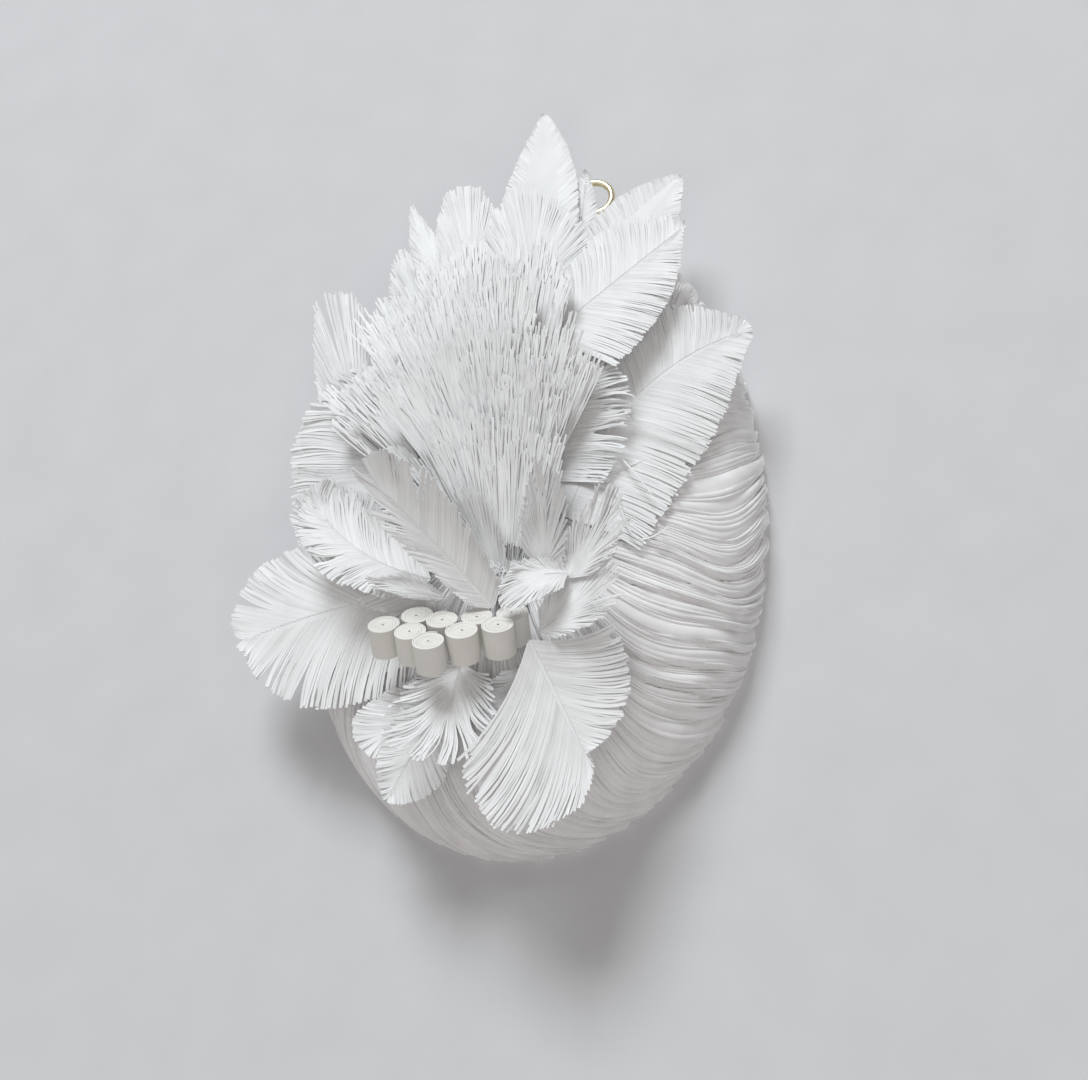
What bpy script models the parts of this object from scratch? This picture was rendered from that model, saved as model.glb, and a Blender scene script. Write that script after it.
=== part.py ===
"""Hanging paper wall sculpture.

An egg-shaped body of pleated paper hangs from a small brass eye. Its face carries a
fan of fringed paper plumes, a crest of layered tufts and a cluster of paper coils.
The back lies on the plane Y = 0, the front faces -Y and +Z is up. A place on the
plan is (across, up) as seen from the front, and a height is measured out from the wall.
"""

import math
from typing import NamedTuple

import bmesh
import bpy
import numpy as np
from mathutils import Matrix, Vector

MM = 0.001

# Body, an egg outline of two half ellipses and a rounded face
BODY_CENTRE = -0.003
BODY_HALF_WIDTH = 0.059
BODY_ABOVE = 0.098
BODY_BELOW = 0.076
BODY_DEPTH = 0.037
BODY_PLAN_POWER = 2.4
BODY_FACE_POWER = 2.2
PLEATS = 72
PLEAT_DEPTH = 0.0009
RIM_TOOTH = 0.00045
BODY_RINGS = 6
BODY_SMOOTH = 35.0

# Card on the back
CARD_THICKNESS = 0.0012
CARD_INSET = 0.003
CARD_POINTS = 40
SEAT_GAP = 0.0003

# Brass eye at the top
EYE_RADIUS = 0.0049
EYE_WIRE = 0.00095
EYE_STANDOFF = 0.0091
EYE_HEIGHT = 0.010
SHANK_DEPTH = 0.012
SHANK_CLEARANCE = 0.0003
EYE_STEPS = 20
EYE_SIDES = 8
SHANK_SIDES = 10
EYE_SMOOTH = 60.0

# Plume paper: the share of a strip that stays uncut, the width of the teeth round the
# tip, and the share of a tooth that a slit takes on each side
PAPER = 0.0003
PAPER_GAP = 0.0003
UNCUT = 0.36
TIP_TOOTH = 0.006
SLIT = 0.06

# Crest of fringed tufts, in rows from the longest below to the shortest on top, that
# fan out from a foot in per cent of the body's half width and height
CREST_FOOT = (4.6, -22.4)
CREST_REACH = 0.096
CREST_PEAK_HEADING = 108.0
CREST_FALL = 2.2
CREST_STRIPS = 6
CREST_ROOT_WIDTH = 0.0048
CREST_SPREAD = 13.0
CREST_CURL = 0.002
CREST_CUP = 0.0005

# Share of a tuft that isn't cut, lines across it as shares of its length, and how
# the cut ends stray: shorter to both sides, in a wave that differs with the length
TUFT_WHOLE = 0.30
TUFT_LINES = (0.0, TUFT_WHOLE, 0.65, 1.0)
TUFT_ROUNDING = 0.16
TUFT_WAVE = 0.05
TUFT_WAVE_TURN = 7.0
TUFT_WAVE_SHIFT = 40000.0

# Paper coils, the top of the first one in per cent of the body's half width and height
ROLL_RADIUS = 0.00385
ROLL_LENGTH = 0.0075
ROLL_TURNS = 2
ROLL_STEPS = 8
ROLL_SIDES = 12
ROLL_CORE = 0.0009
ROLL_LAP = 0.00045
ROLL_LAP_GAP = 0.0003
ROLL_MOUTH = 8.0
ROLL_CENTRE = (-15.6, -49.6)
ROLL_LEAN = 40.0
ROLL_SIDE_LEAN = -3.0
ROLL_SMOOTH = 40.0

# Coils in the plane across their axes: across, up and push along the axis in
# millimetres, and the turn of the seam in degrees
ROLLS = (
    (0.0, 0.0, 0.0, 200),
    (6.8, 4.2, 0.3, 250),
    (14.7, 6.6, 0.5, 300),
    (-5.9, 5.4, -1.0, 160),
    (-13.4, 9.4, -1.8, 230),
    (-6.4, 13.4, -1.6, 90),
    (0.8, 9.8, -0.4, 20),
    (8.5, 12.0, -0.8, 130),
    (16.1, 14.6, -1.2, 60),
)

# Square cell of the relief that records how high the paper is stacked
CELL = 0.0005
THINNEST_CELL_SHARE = 0.001
RELIEF_LOW = (-0.095, -0.100)
RELIEF_SIZE = (0.185, 0.240)
WALL_CLEARANCE = 0.003
SHOULDER = 0.80
SHOULDER_FALL = 0.020
MAX_TILT = 0.20


class CrestRow(NamedTuple):
    """One row of tufts in the crest: headings in degrees, reach as a share."""
    count: int
    reach: float
    first: float
    last: float
    length: float
    rise: float


CREST_ROWS = (
    CrestRow(4, 1.00, 132, 93, 42, 2),
    CrestRow(4, 0.84, 128, 84, 36, 4),
    CrestRow(4, 0.64, 136, 88, 30, 6),
    CrestRow(3, 0.46, 126, 90, 36, 6),
)


class Side(NamedTuple):
    """One side of a plume: longest barb in millimetres, outline, sweeps in degrees.

    The sweep is how far a barb leans forward from square to the spine, first at the
    root and then at the tip.
    """
    longest: float
    outline: str
    sweep_at_root: float
    sweep_at_tip: float


class Plume(NamedTuple):
    """One fringed sheet: its root and tip on the body, and its sides, left then right.

    Root and tip are plan places in per cent of the body's half width, from its centre
    line, and of its height above or below the widest place. The rest is in millimetres.
    The bow moves the middle of the spine to the left of its heading. The rise lifts
    the tip in a straight line, the curl bends it up and the cup lifts both edges.
    """
    name: str
    root: tuple
    tip: tuple
    sides: tuple
    teeth: int = 7
    bow: float = 0.0
    rise: float = 2.0
    curl: float = 2.0
    cup: float = 1.0


# Share of the longest barb at the root, place of the longest barb, share at the tip
OUTLINES = {
    "leaf": (0.35, 0.40, 0.20),
    "fan": (0.45, 0.62, 0.72),
    "wedge": (0.90, 0.30, 0.40),
    "point": (0.85, 0.34, 0.17),
    "comb": (1.00, 0.08, 0.05),
    "brush": (0.60, 0.70, 0.95),
}


def both(left, right, outline, sweep_at_root, sweep_at_tip):
    """Return two sides that differ in their longest barb alone."""
    sweeps = (sweep_at_root, sweep_at_tip)
    return Side(left, outline, *sweeps), Side(right, outline, *sweeps)


CROWN = (
    Plume("crown_sliver", (8.5, 77.6), (6.8, 106.1), both(6, 5, "leaf", 15, 60), 3),
    Plume("right_leaf", (10.2, 65.3), (47.5, 104.6),
          (Side(13, "leaf", 22, 50), Side(12, "leaf", 20, 58)), 8),
    Plume("crown_leaf", (-9.3, 67.3), (-17.8, 125.3), both(11, 14, "leaf", 35, 65), 6),
    Plume("left_upper", (-40.7, 40.8), (-74.6, 79.6), both(11, 12, "leaf", 40, 60), 6),
    Plume("left_leaf", (-40.7, 59.2), (-73.7, 95.9), both(8, 6, "leaf", 35, 70), 6),
    Plume("round_leaf", (-28.8, 52), (-46.6, 91.3), both(13, 14, "fan", 35, 60), 6),
    Plume("left_tall", (-73.7, 18.4), (-89, 50),
          (Side(21, "brush", 45, 72), Side(17, "brush", 50, 78)), 7),
    Plume("crown_fan", (-8.5, 51), (-6.8, 83.7),
          (Side(20, "fan", 20, 60), Side(20, "wedge", 5, 55)), 9),
)

RIGHT_SIDE = (
    Plume("wing_plume", (24.9, 0), (82.5, 59.2),
          (Side(24, "leaf", 20, 45), Side(22, "point", -8, 50)), 11, bow=6.5),
    Plume("wing_under", (20.3, 9.2), (18.6, 31.6),
          (Side(6, "brush", -5, 15), Side(16, "brush", -5, 15)), 8),
    Plume("right_plume", (7.6, 42.9), (55.1, 84.7),
          (Side(19, "leaf", 42, 47), Side(19, "comb", 18, 55)), 10),
)

LEFT_SIDE = (
    Plume("left_fringe", (-59.3, 4.1), (-67.8, 34.7),
          (Side(27, "wedge", 5, 40), Side(8, "leaf", 20, 50)), 7),
    Plume("left_low", (-42.4, -19.7), (-83.1, 0), both(13, 12, "fan", 20, 50), rise=3),
    Plume("broad_plume", (-28, -28.9), (-108.5, -40.8),
          (Side(26, "point", 12, 58), Side(29, "point", 45, 72)), 11, bow=-2, rise=4),
    Plume("low_mid", (-20.3, -35.5), (-59.3, -22.4), both(9, 10, "leaf", 35, 60), 5, rise=3),
    Plume("curled_plume", (-25.4, -25), (-72.9, -7.9),
          both(12, 14, "fan", 20, 60), 9, bow=3, rise=4, curl=3, cup=3),
)

BOTTOM = (
    Plume("low_left", (-20.3, -55.3), (-39, -69.7), both(11, 12, "fan", 35, 55), 5),
    Plume("low_leaf", (-15.3, -56.6), (-34.7, -89.5), both(12, 10, "leaf", 25, 58), 6),
    Plume("throat_fringe", (13.6, -47.4), (11.9, -61.8), both(10, 10, "fan", 30, 60), 5, rise=3),
    Plume("under_roll", (-8.5, -50), (-10.2, -68.4), both(16, 17, "fan", 20, 60), 7, rise=3),
    Plume("bottom_plume", (20.3, -44.7), (44.1, -74.3),
          (Side(19.5, "comb", 13, 50), Side(34, "wedge", 33, 55)), 10, rise=4),
    Plume("inner_plume", (23.7, -42.1), (44.1, -28.9), both(11, 9, "fan", 30, 60), 5, rise=3),
)

CENTRE = (
    Plume("centre_left", (3.4, -27.6), (-8.5, -6.6), both(8, 7, "fan", 35, 60), 5, rise=5),
    Plume("centre_right", (33.9, -26.3), (43.2, -13.2), both(11, 11, "brush", 35, 82), 5, rise=4),
    Plume("centre_tuft", (22, -25), (23.7, -13.2), both(11, 11, "brush", 40, 85), 5, rise=5),
    Plume("curled_tuft", (33.9, -25), (14.4, -28.9),
          both(9, 5, "fan", 20, 45), 5, rise=8, curl=-6, cup=2),
)

THROAT = (
    Plume("mid_tuft", (-18.6, -30.3), (-47.5, -28.9), both(4, 5, "leaf", 45, 65), 3, rise=3),
    Plume("standing_petal", (3.4, -34.2), (-35.6, -9.9),
          (Side(11, "fan", 45, 78), Side(11, "fan", 20, 42)), 10, rise=14, curl=4, cup=6),
)


def remove_start_objects():
    """Clear the scene of whatever it starts with."""
    for item in list(bpy.data.objects):
        bpy.data.objects.remove(item, do_unlink=True)


def material(name, colour, roughness, metallic=0.0):
    """Return a Principled material of one plain finish."""
    finish = bpy.data.materials.new(name)
    finish.use_nodes = True
    shader = finish.node_tree.nodes["Principled BSDF"]
    shader.inputs["Base Color"].default_value = (*colour, 1.0)
    shader.inputs["Roughness"].default_value = roughness
    shader.inputs["Metallic"].default_value = metallic
    return finish


def to_world(plan):
    """Turn (across, up, out) into X, Y, Z."""
    across, up, out = plan
    return Vector((across, -out, up))


def add_object(name, mesh, finish, smooth_angle=None):
    """Put a mesh into the scene as a named object of one material."""
    mesh.materials.append(finish)
    item = bpy.data.objects.new(name, mesh)
    bpy.context.scene.collection.objects.link(item)
    item.parent = bpy.data.objects["sculpture"]
    if smooth_angle is not None:
        mesh.shade_smooth()
        mesh.set_sharp_from_angle(angle=math.radians(smooth_angle))
    return item


def mesh_from(name, points, faces):
    """Return a mesh from world points and faces."""
    mesh = bpy.data.meshes.new(name)
    mesh.from_pydata([tuple(point) for point in points], [], faces)
    mesh.update()
    return mesh


def egg_radii(across, up):
    """Return how far out on the egg outline a plan place lies, 1 on the outline."""
    half_height = np.where(up >= 0, BODY_ABOVE, BODY_BELOW)
    return np.hypot((across - BODY_CENTRE) / BODY_HALF_WIDTH, up / half_height)


def egg_point(angle, inset=0.0):
    """Return the plan place on the egg outline at an angle from the right."""
    half_height = BODY_ABOVE if math.sin(angle) >= 0 else BODY_BELOW
    across = BODY_CENTRE + (BODY_HALF_WIDTH - inset) * math.cos(angle)
    return across, (half_height - inset) * math.sin(angle)


def on_body(place):
    """Return the plan place of a point given in per cent of the body's half sizes."""
    across, up = place
    half_height = BODY_ABOVE if up >= 0 else BODY_BELOW
    return np.array([BODY_CENTRE + BODY_HALF_WIDTH * across / 100, half_height * up / 100])


def body_base():
    """Return the height of the flat back of the body."""
    return CARD_THICKNESS + SEAT_GAP


def face_height(share):
    """Return the height of the rounded face at a share of the way to the outline."""
    inside = np.clip(1 - np.clip(share, 0, 1) ** BODY_PLAN_POWER, 0, 1)
    return body_base() + BODY_DEPTH * inside ** (1 / BODY_FACE_POWER)


def shoulder_height(across, up):
    """Return a soft continuation of the face past its shoulder, for plumes to follow."""
    share = egg_radii(across, up)
    beyond = np.maximum(share - SHOULDER, 0)
    return face_height(np.minimum(share, SHOULDER)) - SHOULDER_FALL * beyond


class Relief:
    """Height of the topmost paper over each cell of the plan."""

    def __init__(self):
        shape = tuple(int(round(size / CELL)) for size in RELIEF_SIZE)
        self.top = np.full(shape, WALL_CLEARANCE)
        self.guard = self.top.copy()

    def centres(self, cells):
        """Return the plan places of cells."""
        return (cells + 0.5) * CELL + np.array(RELIEF_LOW)

    def triangle_cells(self, corners):
        """Return the cells whose centres lie in one triangle, and the heights there."""
        low = np.floor((corners[:, :2].min(0) - RELIEF_LOW) / CELL).astype(int)
        high = np.ceil((corners[:, :2].max(0) - RELIEF_LOW) / CELL).astype(int)
        low = np.clip(low, 0, np.array(self.top.shape) - 1)
        high = np.clip(high, 0, np.array(self.top.shape) - 1)
        rows, columns = np.mgrid[low[0]:high[0] + 1, low[1]:high[1] + 1]
        cells = np.stack([rows.ravel(), columns.ravel()], axis=1)
        edges = (corners[1:, :2] - corners[0, :2]).T
        area = np.linalg.det(edges)
        if abs(area) < CELL * CELL * THINNEST_CELL_SHARE:
            return cells[:0], np.zeros(0)
        shares = np.linalg.solve(edges, (self.centres(cells) - corners[0, :2]).T)
        inside = (shares[0] >= 0) & (shares[1] >= 0) & (shares.sum(0) <= 1)
        rises = corners[1:, 2] - corners[0, 2]
        return cells[inside], corners[0, 2] + rises @ shares[:, inside]

    def cast(self, points, triangles):
        """Return every cell under a set of triangles and the height over each."""
        found = [self.triangle_cells(points[list(triangle)]) for triangle in triangles]
        cells = np.concatenate([part[0] for part in found])
        return cells, np.concatenate([part[1] for part in found])

    def lift_needed(self, cells, heights):
        """Return how far a piece must rise to lie one gap above all that is there."""
        return float(np.max(self.guard[cells[:, 0], cells[:, 1]] + PAPER_GAP - heights))

    def cover(self, cells, heights):
        """Record a piece, and spread its guard by one cell each way."""
        fresh = np.full(self.top.shape, WALL_CLEARANCE)
        np.maximum.at(fresh, (cells[:, 0], cells[:, 1]), heights)
        self.top = np.maximum(self.top, fresh)
        wide = np.pad(fresh, 1, mode="edge")
        rows, columns = fresh.shape
        for row in range(3):
            for column in range(3):
                shifted = wide[row:row + rows, column:column + columns]
                self.guard = np.maximum(self.guard, shifted)


def split_faces(faces):
    """Return the triangles of faces, each fanned from its first corner."""
    triangles = []
    for face in faces:
        for index in range(1, len(face) - 1):
            triangles.append((face[0], face[index], face[index + 1]))
    return triangles


def mesh_cast(relief, mesh, matrix):
    """Cast a placed mesh onto the relief."""
    points = np.array([matrix @ vertex.co for vertex in mesh.vertices])
    plan = np.stack([points[:, 0], points[:, 2], -points[:, 1]], axis=1)
    return relief.cast(plan, split_faces([tuple(face.vertices) for face in mesh.polygons]))


def quadratic(along, across):
    """Return the terms of a curved surface over local plan places."""
    terms = (np.ones_like(along), along, across, along ** 2, along * across, across ** 2)
    return np.stack(terms, axis=-1)


class Sheet(NamedTuple):
    """A flat cut sheet: plan points, faces, its root, direction and length."""
    plan: np.ndarray
    faces: list
    root: np.ndarray
    direction: np.ndarray
    length: float
    half_width: float


def local_places(sheet, plan):
    """Return plan places measured along and across a sheet from its root."""
    offset = plan - sheet.root
    side = np.array([-sheet.direction[1], sheet.direction[0]])
    return offset @ sheet.direction, offset @ side


def fitted(terms, values):
    """Return the factors that fit terms to values best."""
    return np.linalg.lstsq(terms, values, rcond=None)[0]


def seated_heights(sheet, relief, rise, curl, cup):
    """Bend a sheet like the face of the body, tilt it to lie on the stack and lower it."""
    flat = np.column_stack([sheet.plan, np.zeros(len(sheet.plan))])
    triangles = split_faces(sheet.faces)
    cells, _ = relief.cast(flat, triangles)
    spots = relief.centres(cells)
    along, across = local_places(sheet, spots)
    ground = shoulder_height(*spots.T)
    bend = fitted(quadratic(along, across), ground)
    stack = np.maximum(relief.top[cells[:, 0], cells[:, 1]], ground) - ground
    _, tilt, roll = fitted(quadratic(along, across)[:, :3], stack)
    along, across = local_places(sheet, sheet.plan)
    share = np.clip(along / sheet.length, 0, None)
    heights = quadratic(along, across) @ bend
    heights += np.clip(tilt, -MAX_TILT, MAX_TILT) * along
    heights += np.clip(roll, -MAX_TILT, MAX_TILT) * across
    heights += rise * share + curl * share ** 2 + cup * (across / sheet.half_width) ** 2
    cells, under = relief.cast(np.column_stack([sheet.plan, heights]), triangles)
    lift = relief.lift_needed(cells, under)
    relief.cover(cells, under + lift + PAPER)
    return heights + lift


def add_sheet(name, sheet, relief, bends, finish):
    """Seat a sheet on the relief and give it the thickness of its paper."""
    heights = seated_heights(sheet, relief, *bends)
    points = [to_world((*place, height)) for place, height in zip(sheet.plan, heights)]
    item = add_object(name, mesh_from(name, points, sheet.faces), finish)
    paper = item.modifiers.new("paper", "SOLIDIFY")
    paper.thickness = PAPER
    paper.offset = 1.0
    return item


def barb_share(outline, place):
    """Return the barb length at a place along the spine, as a share of the longest."""
    at_root, peak, at_tip = OUTLINES[outline]
    if place < peak:
        return at_root + (1 - at_root) * math.sin(0.5 * math.pi * place / peak)
    return at_tip + (1 - at_tip) * math.cos(0.5 * math.pi * (place - peak) / (1 - peak))


def spine_points(root, tip, bow, count):
    """Return places along a bowed spine and the direction at each."""
    chord = tip - root
    side = np.array([-chord[1], chord[0]]) / np.hypot(*chord)
    places = np.linspace(0, 1, count + 1)
    points = root + np.outer(places, chord) + np.outer(4 * bow * places * (1 - places), side)
    headings = chord + np.outer(4 * bow * (1 - 2 * places), side)
    return places, points, headings / np.linalg.norm(headings, axis=1)[:, None]


def turned(heading, angle):
    """Return a plan direction turned anticlockwise by an angle."""
    return np.array(Matrix.Rotation(angle, 2) @ Vector(heading))


def barb_end(side, turn, place, start, heading):
    """Return where the barb at a place along the spine ends."""
    sweep = side.sweep_at_root + (side.sweep_at_tip - side.sweep_at_root) * place
    direction = turned(heading, turn * math.radians(90 - sweep))
    return start + direction * side.longest * MM * barb_share(side.outline, place)


def plume_sheet(plume):
    """Return the flat sheet of a plume: an uncut middle and a tooth for each cut strip."""
    root = on_body(plume.root)
    tip = on_body(plume.tip)
    places, spine, headings = spine_points(root, tip, plume.bow * MM, plume.teeth)
    points = list(spine)
    faces = []
    last_inner = []
    for side, turn in zip(plume.sides, (1, -1)):
        spots = zip(places, spine, headings)
        ends = [barb_end(side, turn, *spot) for spot in spots]
        faces += side_faces(points, spine, ends, turn)
        last_inner.append(len(points) - 2 * plume.teeth - 1)
    faces += tip_faces(points, plume, headings[-1], last_inner)
    length = float(np.hypot(*(tip - root)))
    half_width = max(side.longest for side in plume.sides) * MM
    return Sheet(np.array(points), faces, root, (tip - root) / length, length, half_width)


def side_faces(points, spine, ends, turn):
    """Add one side of a plume to its points, and return its faces."""
    faces = []
    first = len(points)
    for start, end in zip(spine, ends):
        points.append(start + UNCUT * (end - start))
    for index in range(len(spine) - 1):
        inner = (index, index + 1, first + index + 1, first + index)
        low = len(points)
        points.append(ends[index] + SLIT * (ends[index + 1] - ends[index]))
        points.append(ends[index + 1] + SLIT * (ends[index] - ends[index + 1]))
        tooth = (first + index, first + index + 1, low + 1, low)
        faces += [inner, tooth] if turn > 0 else [inner[::-1], tooth[::-1]]
    return faces


def tip_faces(points, plume, heading, last_inner):
    """Add the teeth that fan round the tip between both sides, and return their faces."""
    left, right = plume.sides
    turn = math.radians(90 - left.sweep_at_tip)
    arc = math.radians(180 - left.sweep_at_tip - right.sweep_at_tip)
    reaches = [side.longest * MM * barb_share(side.outline, 1.0) for side in plume.sides]
    count = round(arc * sum(reaches) / 2 / TIP_TOOTH)
    tip = points[plume.teeth]
    rays = []
    for index in range(count + 1):
        share = index / count if count else 0
        reach = reaches[0] + (reaches[1] - reaches[0]) * share
        rays.append(turned(heading, turn - arc * share) * reach)
    inner = [last_inner[0]]
    for ray in rays[1:-1]:
        inner.append(len(points))
        points.append(tip + UNCUT * ray)
    inner.append(last_inner[1])
    faces = []
    for index in range(count):
        low = len(points)
        points.append(tip + rays[index] + SLIT * (rays[index + 1] - rays[index]))
        points.append(tip + rays[index + 1] + SLIT * (rays[index] - rays[index + 1]))
        faces.append((plume.teeth, inner[index + 1], inner[index]))
        faces.append((inner[index], inner[index + 1], low + 1, low))
    return faces


def tuft_sheet(foot, heading, reach, length):
    """Return a fan of strips that end at a reach from the foot of the crest."""
    angle = math.radians(heading)
    direction = np.array([math.cos(angle), math.sin(angle)])
    side = np.array([-direction[1], direction[0]])
    root = foot + direction * (reach - length)
    points = []
    for share in TUFT_LINES:
        for index in range(CREST_STRIPS + 1):
            place = 2 * index / CREST_STRIPS - 1
            nudge = 0 if share <= TUFT_WHOLE else 2 * SLIT / CREST_STRIPS * share
            for across in sorted({place - nudge, place + nudge}):
                points.append(root + tuft_offset(direction, side, length, across, share))
    return tuft_faces(points, root, direction, length)


def tuft_offset(direction, side, length, across, share):
    """Return how far from its root a tuft reaches at a place across and a share along."""
    turn = math.radians(CREST_SPREAD) * across
    ray = direction * math.cos(turn) + side * math.sin(turn)
    wave = math.cos(TUFT_WAVE_TURN * across + TUFT_WAVE_SHIFT * length)
    cut = 1 - TUFT_ROUNDING * across ** 2 + TUFT_WAVE * wave
    return side * across * CREST_ROOT_WIDTH + ray * length * share * cut


def tuft_faces(points, root, direction, length):
    """Join a tuft's points into its band and its strips."""
    line = CREST_STRIPS + 1
    cut_from = line * sum(share <= TUFT_WHOLE for share in TUFT_LINES)
    faces = []
    for index in range(CREST_STRIPS):
        band = cut_from + 2 * index + 1
        tips = band + 2 * line
        faces.append((index + 1, index, line + index, line + index + 1))
        faces.append((line + index + 1, line + index, band, band + 1))
        faces.append((band + 1, band, tips, tips + 1))
    used = sorted({corner for face in faces for corner in face})
    order = {corner: place for place, corner in enumerate(used)}
    faces = [tuple(order[corner] for corner in face) for face in faces]
    plan = np.array([points[corner] for corner in used])
    half_width = length * math.sin(math.radians(CREST_SPREAD)) + CREST_ROOT_WIDTH
    return Sheet(plan, faces, root, direction, length, half_width)


def crest_reach(heading):
    """Return how far the crest's outline lies from its foot at a heading."""
    fall = math.radians(CREST_FALL * (heading - CREST_PEAK_HEADING))
    return CREST_REACH * (0.5 + 0.5 * math.cos(fall))


def add_crest(relief, finish):
    """Lay the rows of crest tufts, the longest first."""
    number = 0
    for row in CREST_ROWS:
        for heading in np.linspace(row.first, row.last, row.count):
            number += 1
            reach = row.reach * crest_reach(heading)
            sheet = tuft_sheet(on_body(CREST_FOOT), heading, reach, row.length * MM)
            bends = (row.rise * MM, CREST_CURL, CREST_CUP)
            add_sheet(f"crest_tuft_{number:02d}", sheet, relief, bends, finish)


def add_plumes(plumes, relief, finish):
    """Lay a group of plumes in their order, lowest first."""
    for plume in plumes:
        bends = (plume.rise * MM, plume.curl * MM, plume.cup * MM)
        add_sheet(plume.name, plume_sheet(plume), relief, bends, finish)


def body_mesh():
    """Return the pleated half egg: rings of ridges and valleys from the rim inwards."""
    columns = 2 * PLEATS
    points = []
    for ring in range(BODY_RINGS):
        turn = 0.5 * math.pi * ring / BODY_RINGS
        share = math.cos(turn) ** (2 / BODY_PLAN_POWER)
        for column in range(columns):
            ridge = 1 if column % 2 else -1
            swell = 1 + ridge * RIM_TOOTH / BODY_HALF_WIDTH * math.cos(turn)
            angle = 2 * math.pi * column / columns
            across, up = egg_point(angle)
            out = float(face_height(share)) + ridge * PLEAT_DEPTH * math.sin(turn) * share
            place = (BODY_CENTRE + (across - BODY_CENTRE) * share * swell, up * share * swell)
            points.append(to_world((*place, out)))
    top = len(points)
    points.append(to_world((BODY_CENTRE, 0.0, float(face_height(0.0)))))
    faces = []
    for ring in range(BODY_RINGS - 1):
        for column in range(columns):
            after = (column + 1) % columns
            low = ring * columns
            high = low + columns
            faces.append((low + after, low + column, high + column, high + after))
    last = (BODY_RINGS - 1) * columns
    for column in range(columns):
        faces.append((last + (column + 1) % columns, last + column, top))
    back = tuple(range(columns))
    return mesh_from("pleated_body", points, [back] + split_faces(faces))


def eye_centre():
    """Return the plan place and height of the middle of the eye."""
    return 0.0, BODY_ABOVE + EYE_STANDOFF, EYE_HEIGHT


def add_cylinder(name, radius, low, high):
    """Return an upright cylinder between two places on the eye's line."""
    mesh = bpy.data.meshes.new(name)
    shape = bmesh.new()
    bmesh.ops.create_cone(
        shape, cap_ends=True, segments=SHANK_SIDES, radius1=radius, radius2=radius,
        depth=high - low)
    shape.to_mesh(mesh)
    shape.free()
    item = bpy.data.objects.new(name, mesh)
    bpy.context.scene.collection.objects.link(item)
    item.location = to_world((0.0, 0.5 * (low + high), EYE_HEIGHT))
    item.parent = bpy.data.objects["sculpture"]
    return item


def hide_tool(item):
    """Keep a helper solid out of the finished object."""
    item.hide_render = True
    item.display_type = "WIRE"


def combine(target, helper, operation):
    """Cut a helper solid from an object, or join it on."""
    step = target.modifiers.new(helper.name, "BOOLEAN")
    step.operation = operation
    step.object = helper
    step.solver = "EXACT"
    hide_tool(helper)


def add_body(relief, finish):
    """Build the body and bore the blind hole for the shank of the eye."""
    mesh = body_mesh()
    body = add_object("pleated_body", mesh, finish, smooth_angle=BODY_SMOOTH)
    bottom = BODY_ABOVE - SHANK_DEPTH - SHANK_CLEARANCE
    radius = EYE_WIRE + SHANK_CLEARANCE
    bore = add_cylinder("eye_bore", radius, bottom, BODY_ABOVE + EYE_STANDOFF)
    combine(body, bore, "DIFFERENCE")
    relief.cover(*mesh_cast(relief, mesh, Matrix.Identity(4)))


def torus_mesh(name, ring_radius, wire_radius):
    """Return a ring of round wire that lies parallel to the wall."""
    shape = bmesh.new()
    section = []
    for side in range(EYE_SIDES):
        angle = 2 * math.pi * (side + 0.5) / EYE_SIDES
        place = (ring_radius + wire_radius * math.cos(angle), wire_radius * math.sin(angle), 0)
        section.append(shape.verts.new(place))
    edges = [shape.edges.new((section[side - 1], section[side])) for side in range(EYE_SIDES)]
    bmesh.ops.spin(
        shape, geom=section + edges, cent=(0, 0, 0), axis=(0, 1, 0), angle=2 * math.pi,
        steps=EYE_STEPS, use_merge=True)
    bmesh.ops.recalc_face_normals(shape, faces=shape.faces)
    mesh = bpy.data.meshes.new(name)
    shape.to_mesh(mesh)
    shape.free()
    return mesh


def add_eye(finish):
    """Build the brass eye: a ring with a shank that goes down into the body."""
    across, up, out = eye_centre()
    mesh = torus_mesh("hanging_eye", EYE_RADIUS, EYE_WIRE)
    eye = add_object("hanging_eye", mesh, finish, smooth_angle=EYE_SMOOTH)
    eye.location = to_world((across, up, out))
    shank = add_cylinder("eye_shank", EYE_WIRE, BODY_ABOVE - SHANK_DEPTH, up - EYE_RADIUS)
    combine(eye, shank, "UNION")


def add_card(finish):
    """Build the flat card that closes the back and lies on the wall."""
    shape = bmesh.new()
    outline = []
    for index in range(CARD_POINTS):
        place = egg_point(2 * math.pi * index / CARD_POINTS, CARD_INSET)
        outline.append(shape.verts.new(to_world((*place, 0.0))))
    back = shape.faces.new(outline)
    grown = bmesh.ops.extrude_face_region(shape, geom=[back], use_keep_orig=True)
    moved = [part for part in grown["geom"] if isinstance(part, bmesh.types.BMVert)]
    bmesh.ops.translate(shape, verts=moved, vec=(0, -CARD_THICKNESS, 0))
    bmesh.ops.recalc_face_normals(shape, faces=shape.faces)
    mesh = bpy.data.meshes.new("backing_card")
    shape.to_mesh(mesh)
    shape.free()
    add_object("backing_card", mesh, finish)


def polar(radius, angle):
    """Return a place in the section of a coil."""
    return Vector((radius * math.cos(angle), radius * math.sin(angle), 0))


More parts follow.
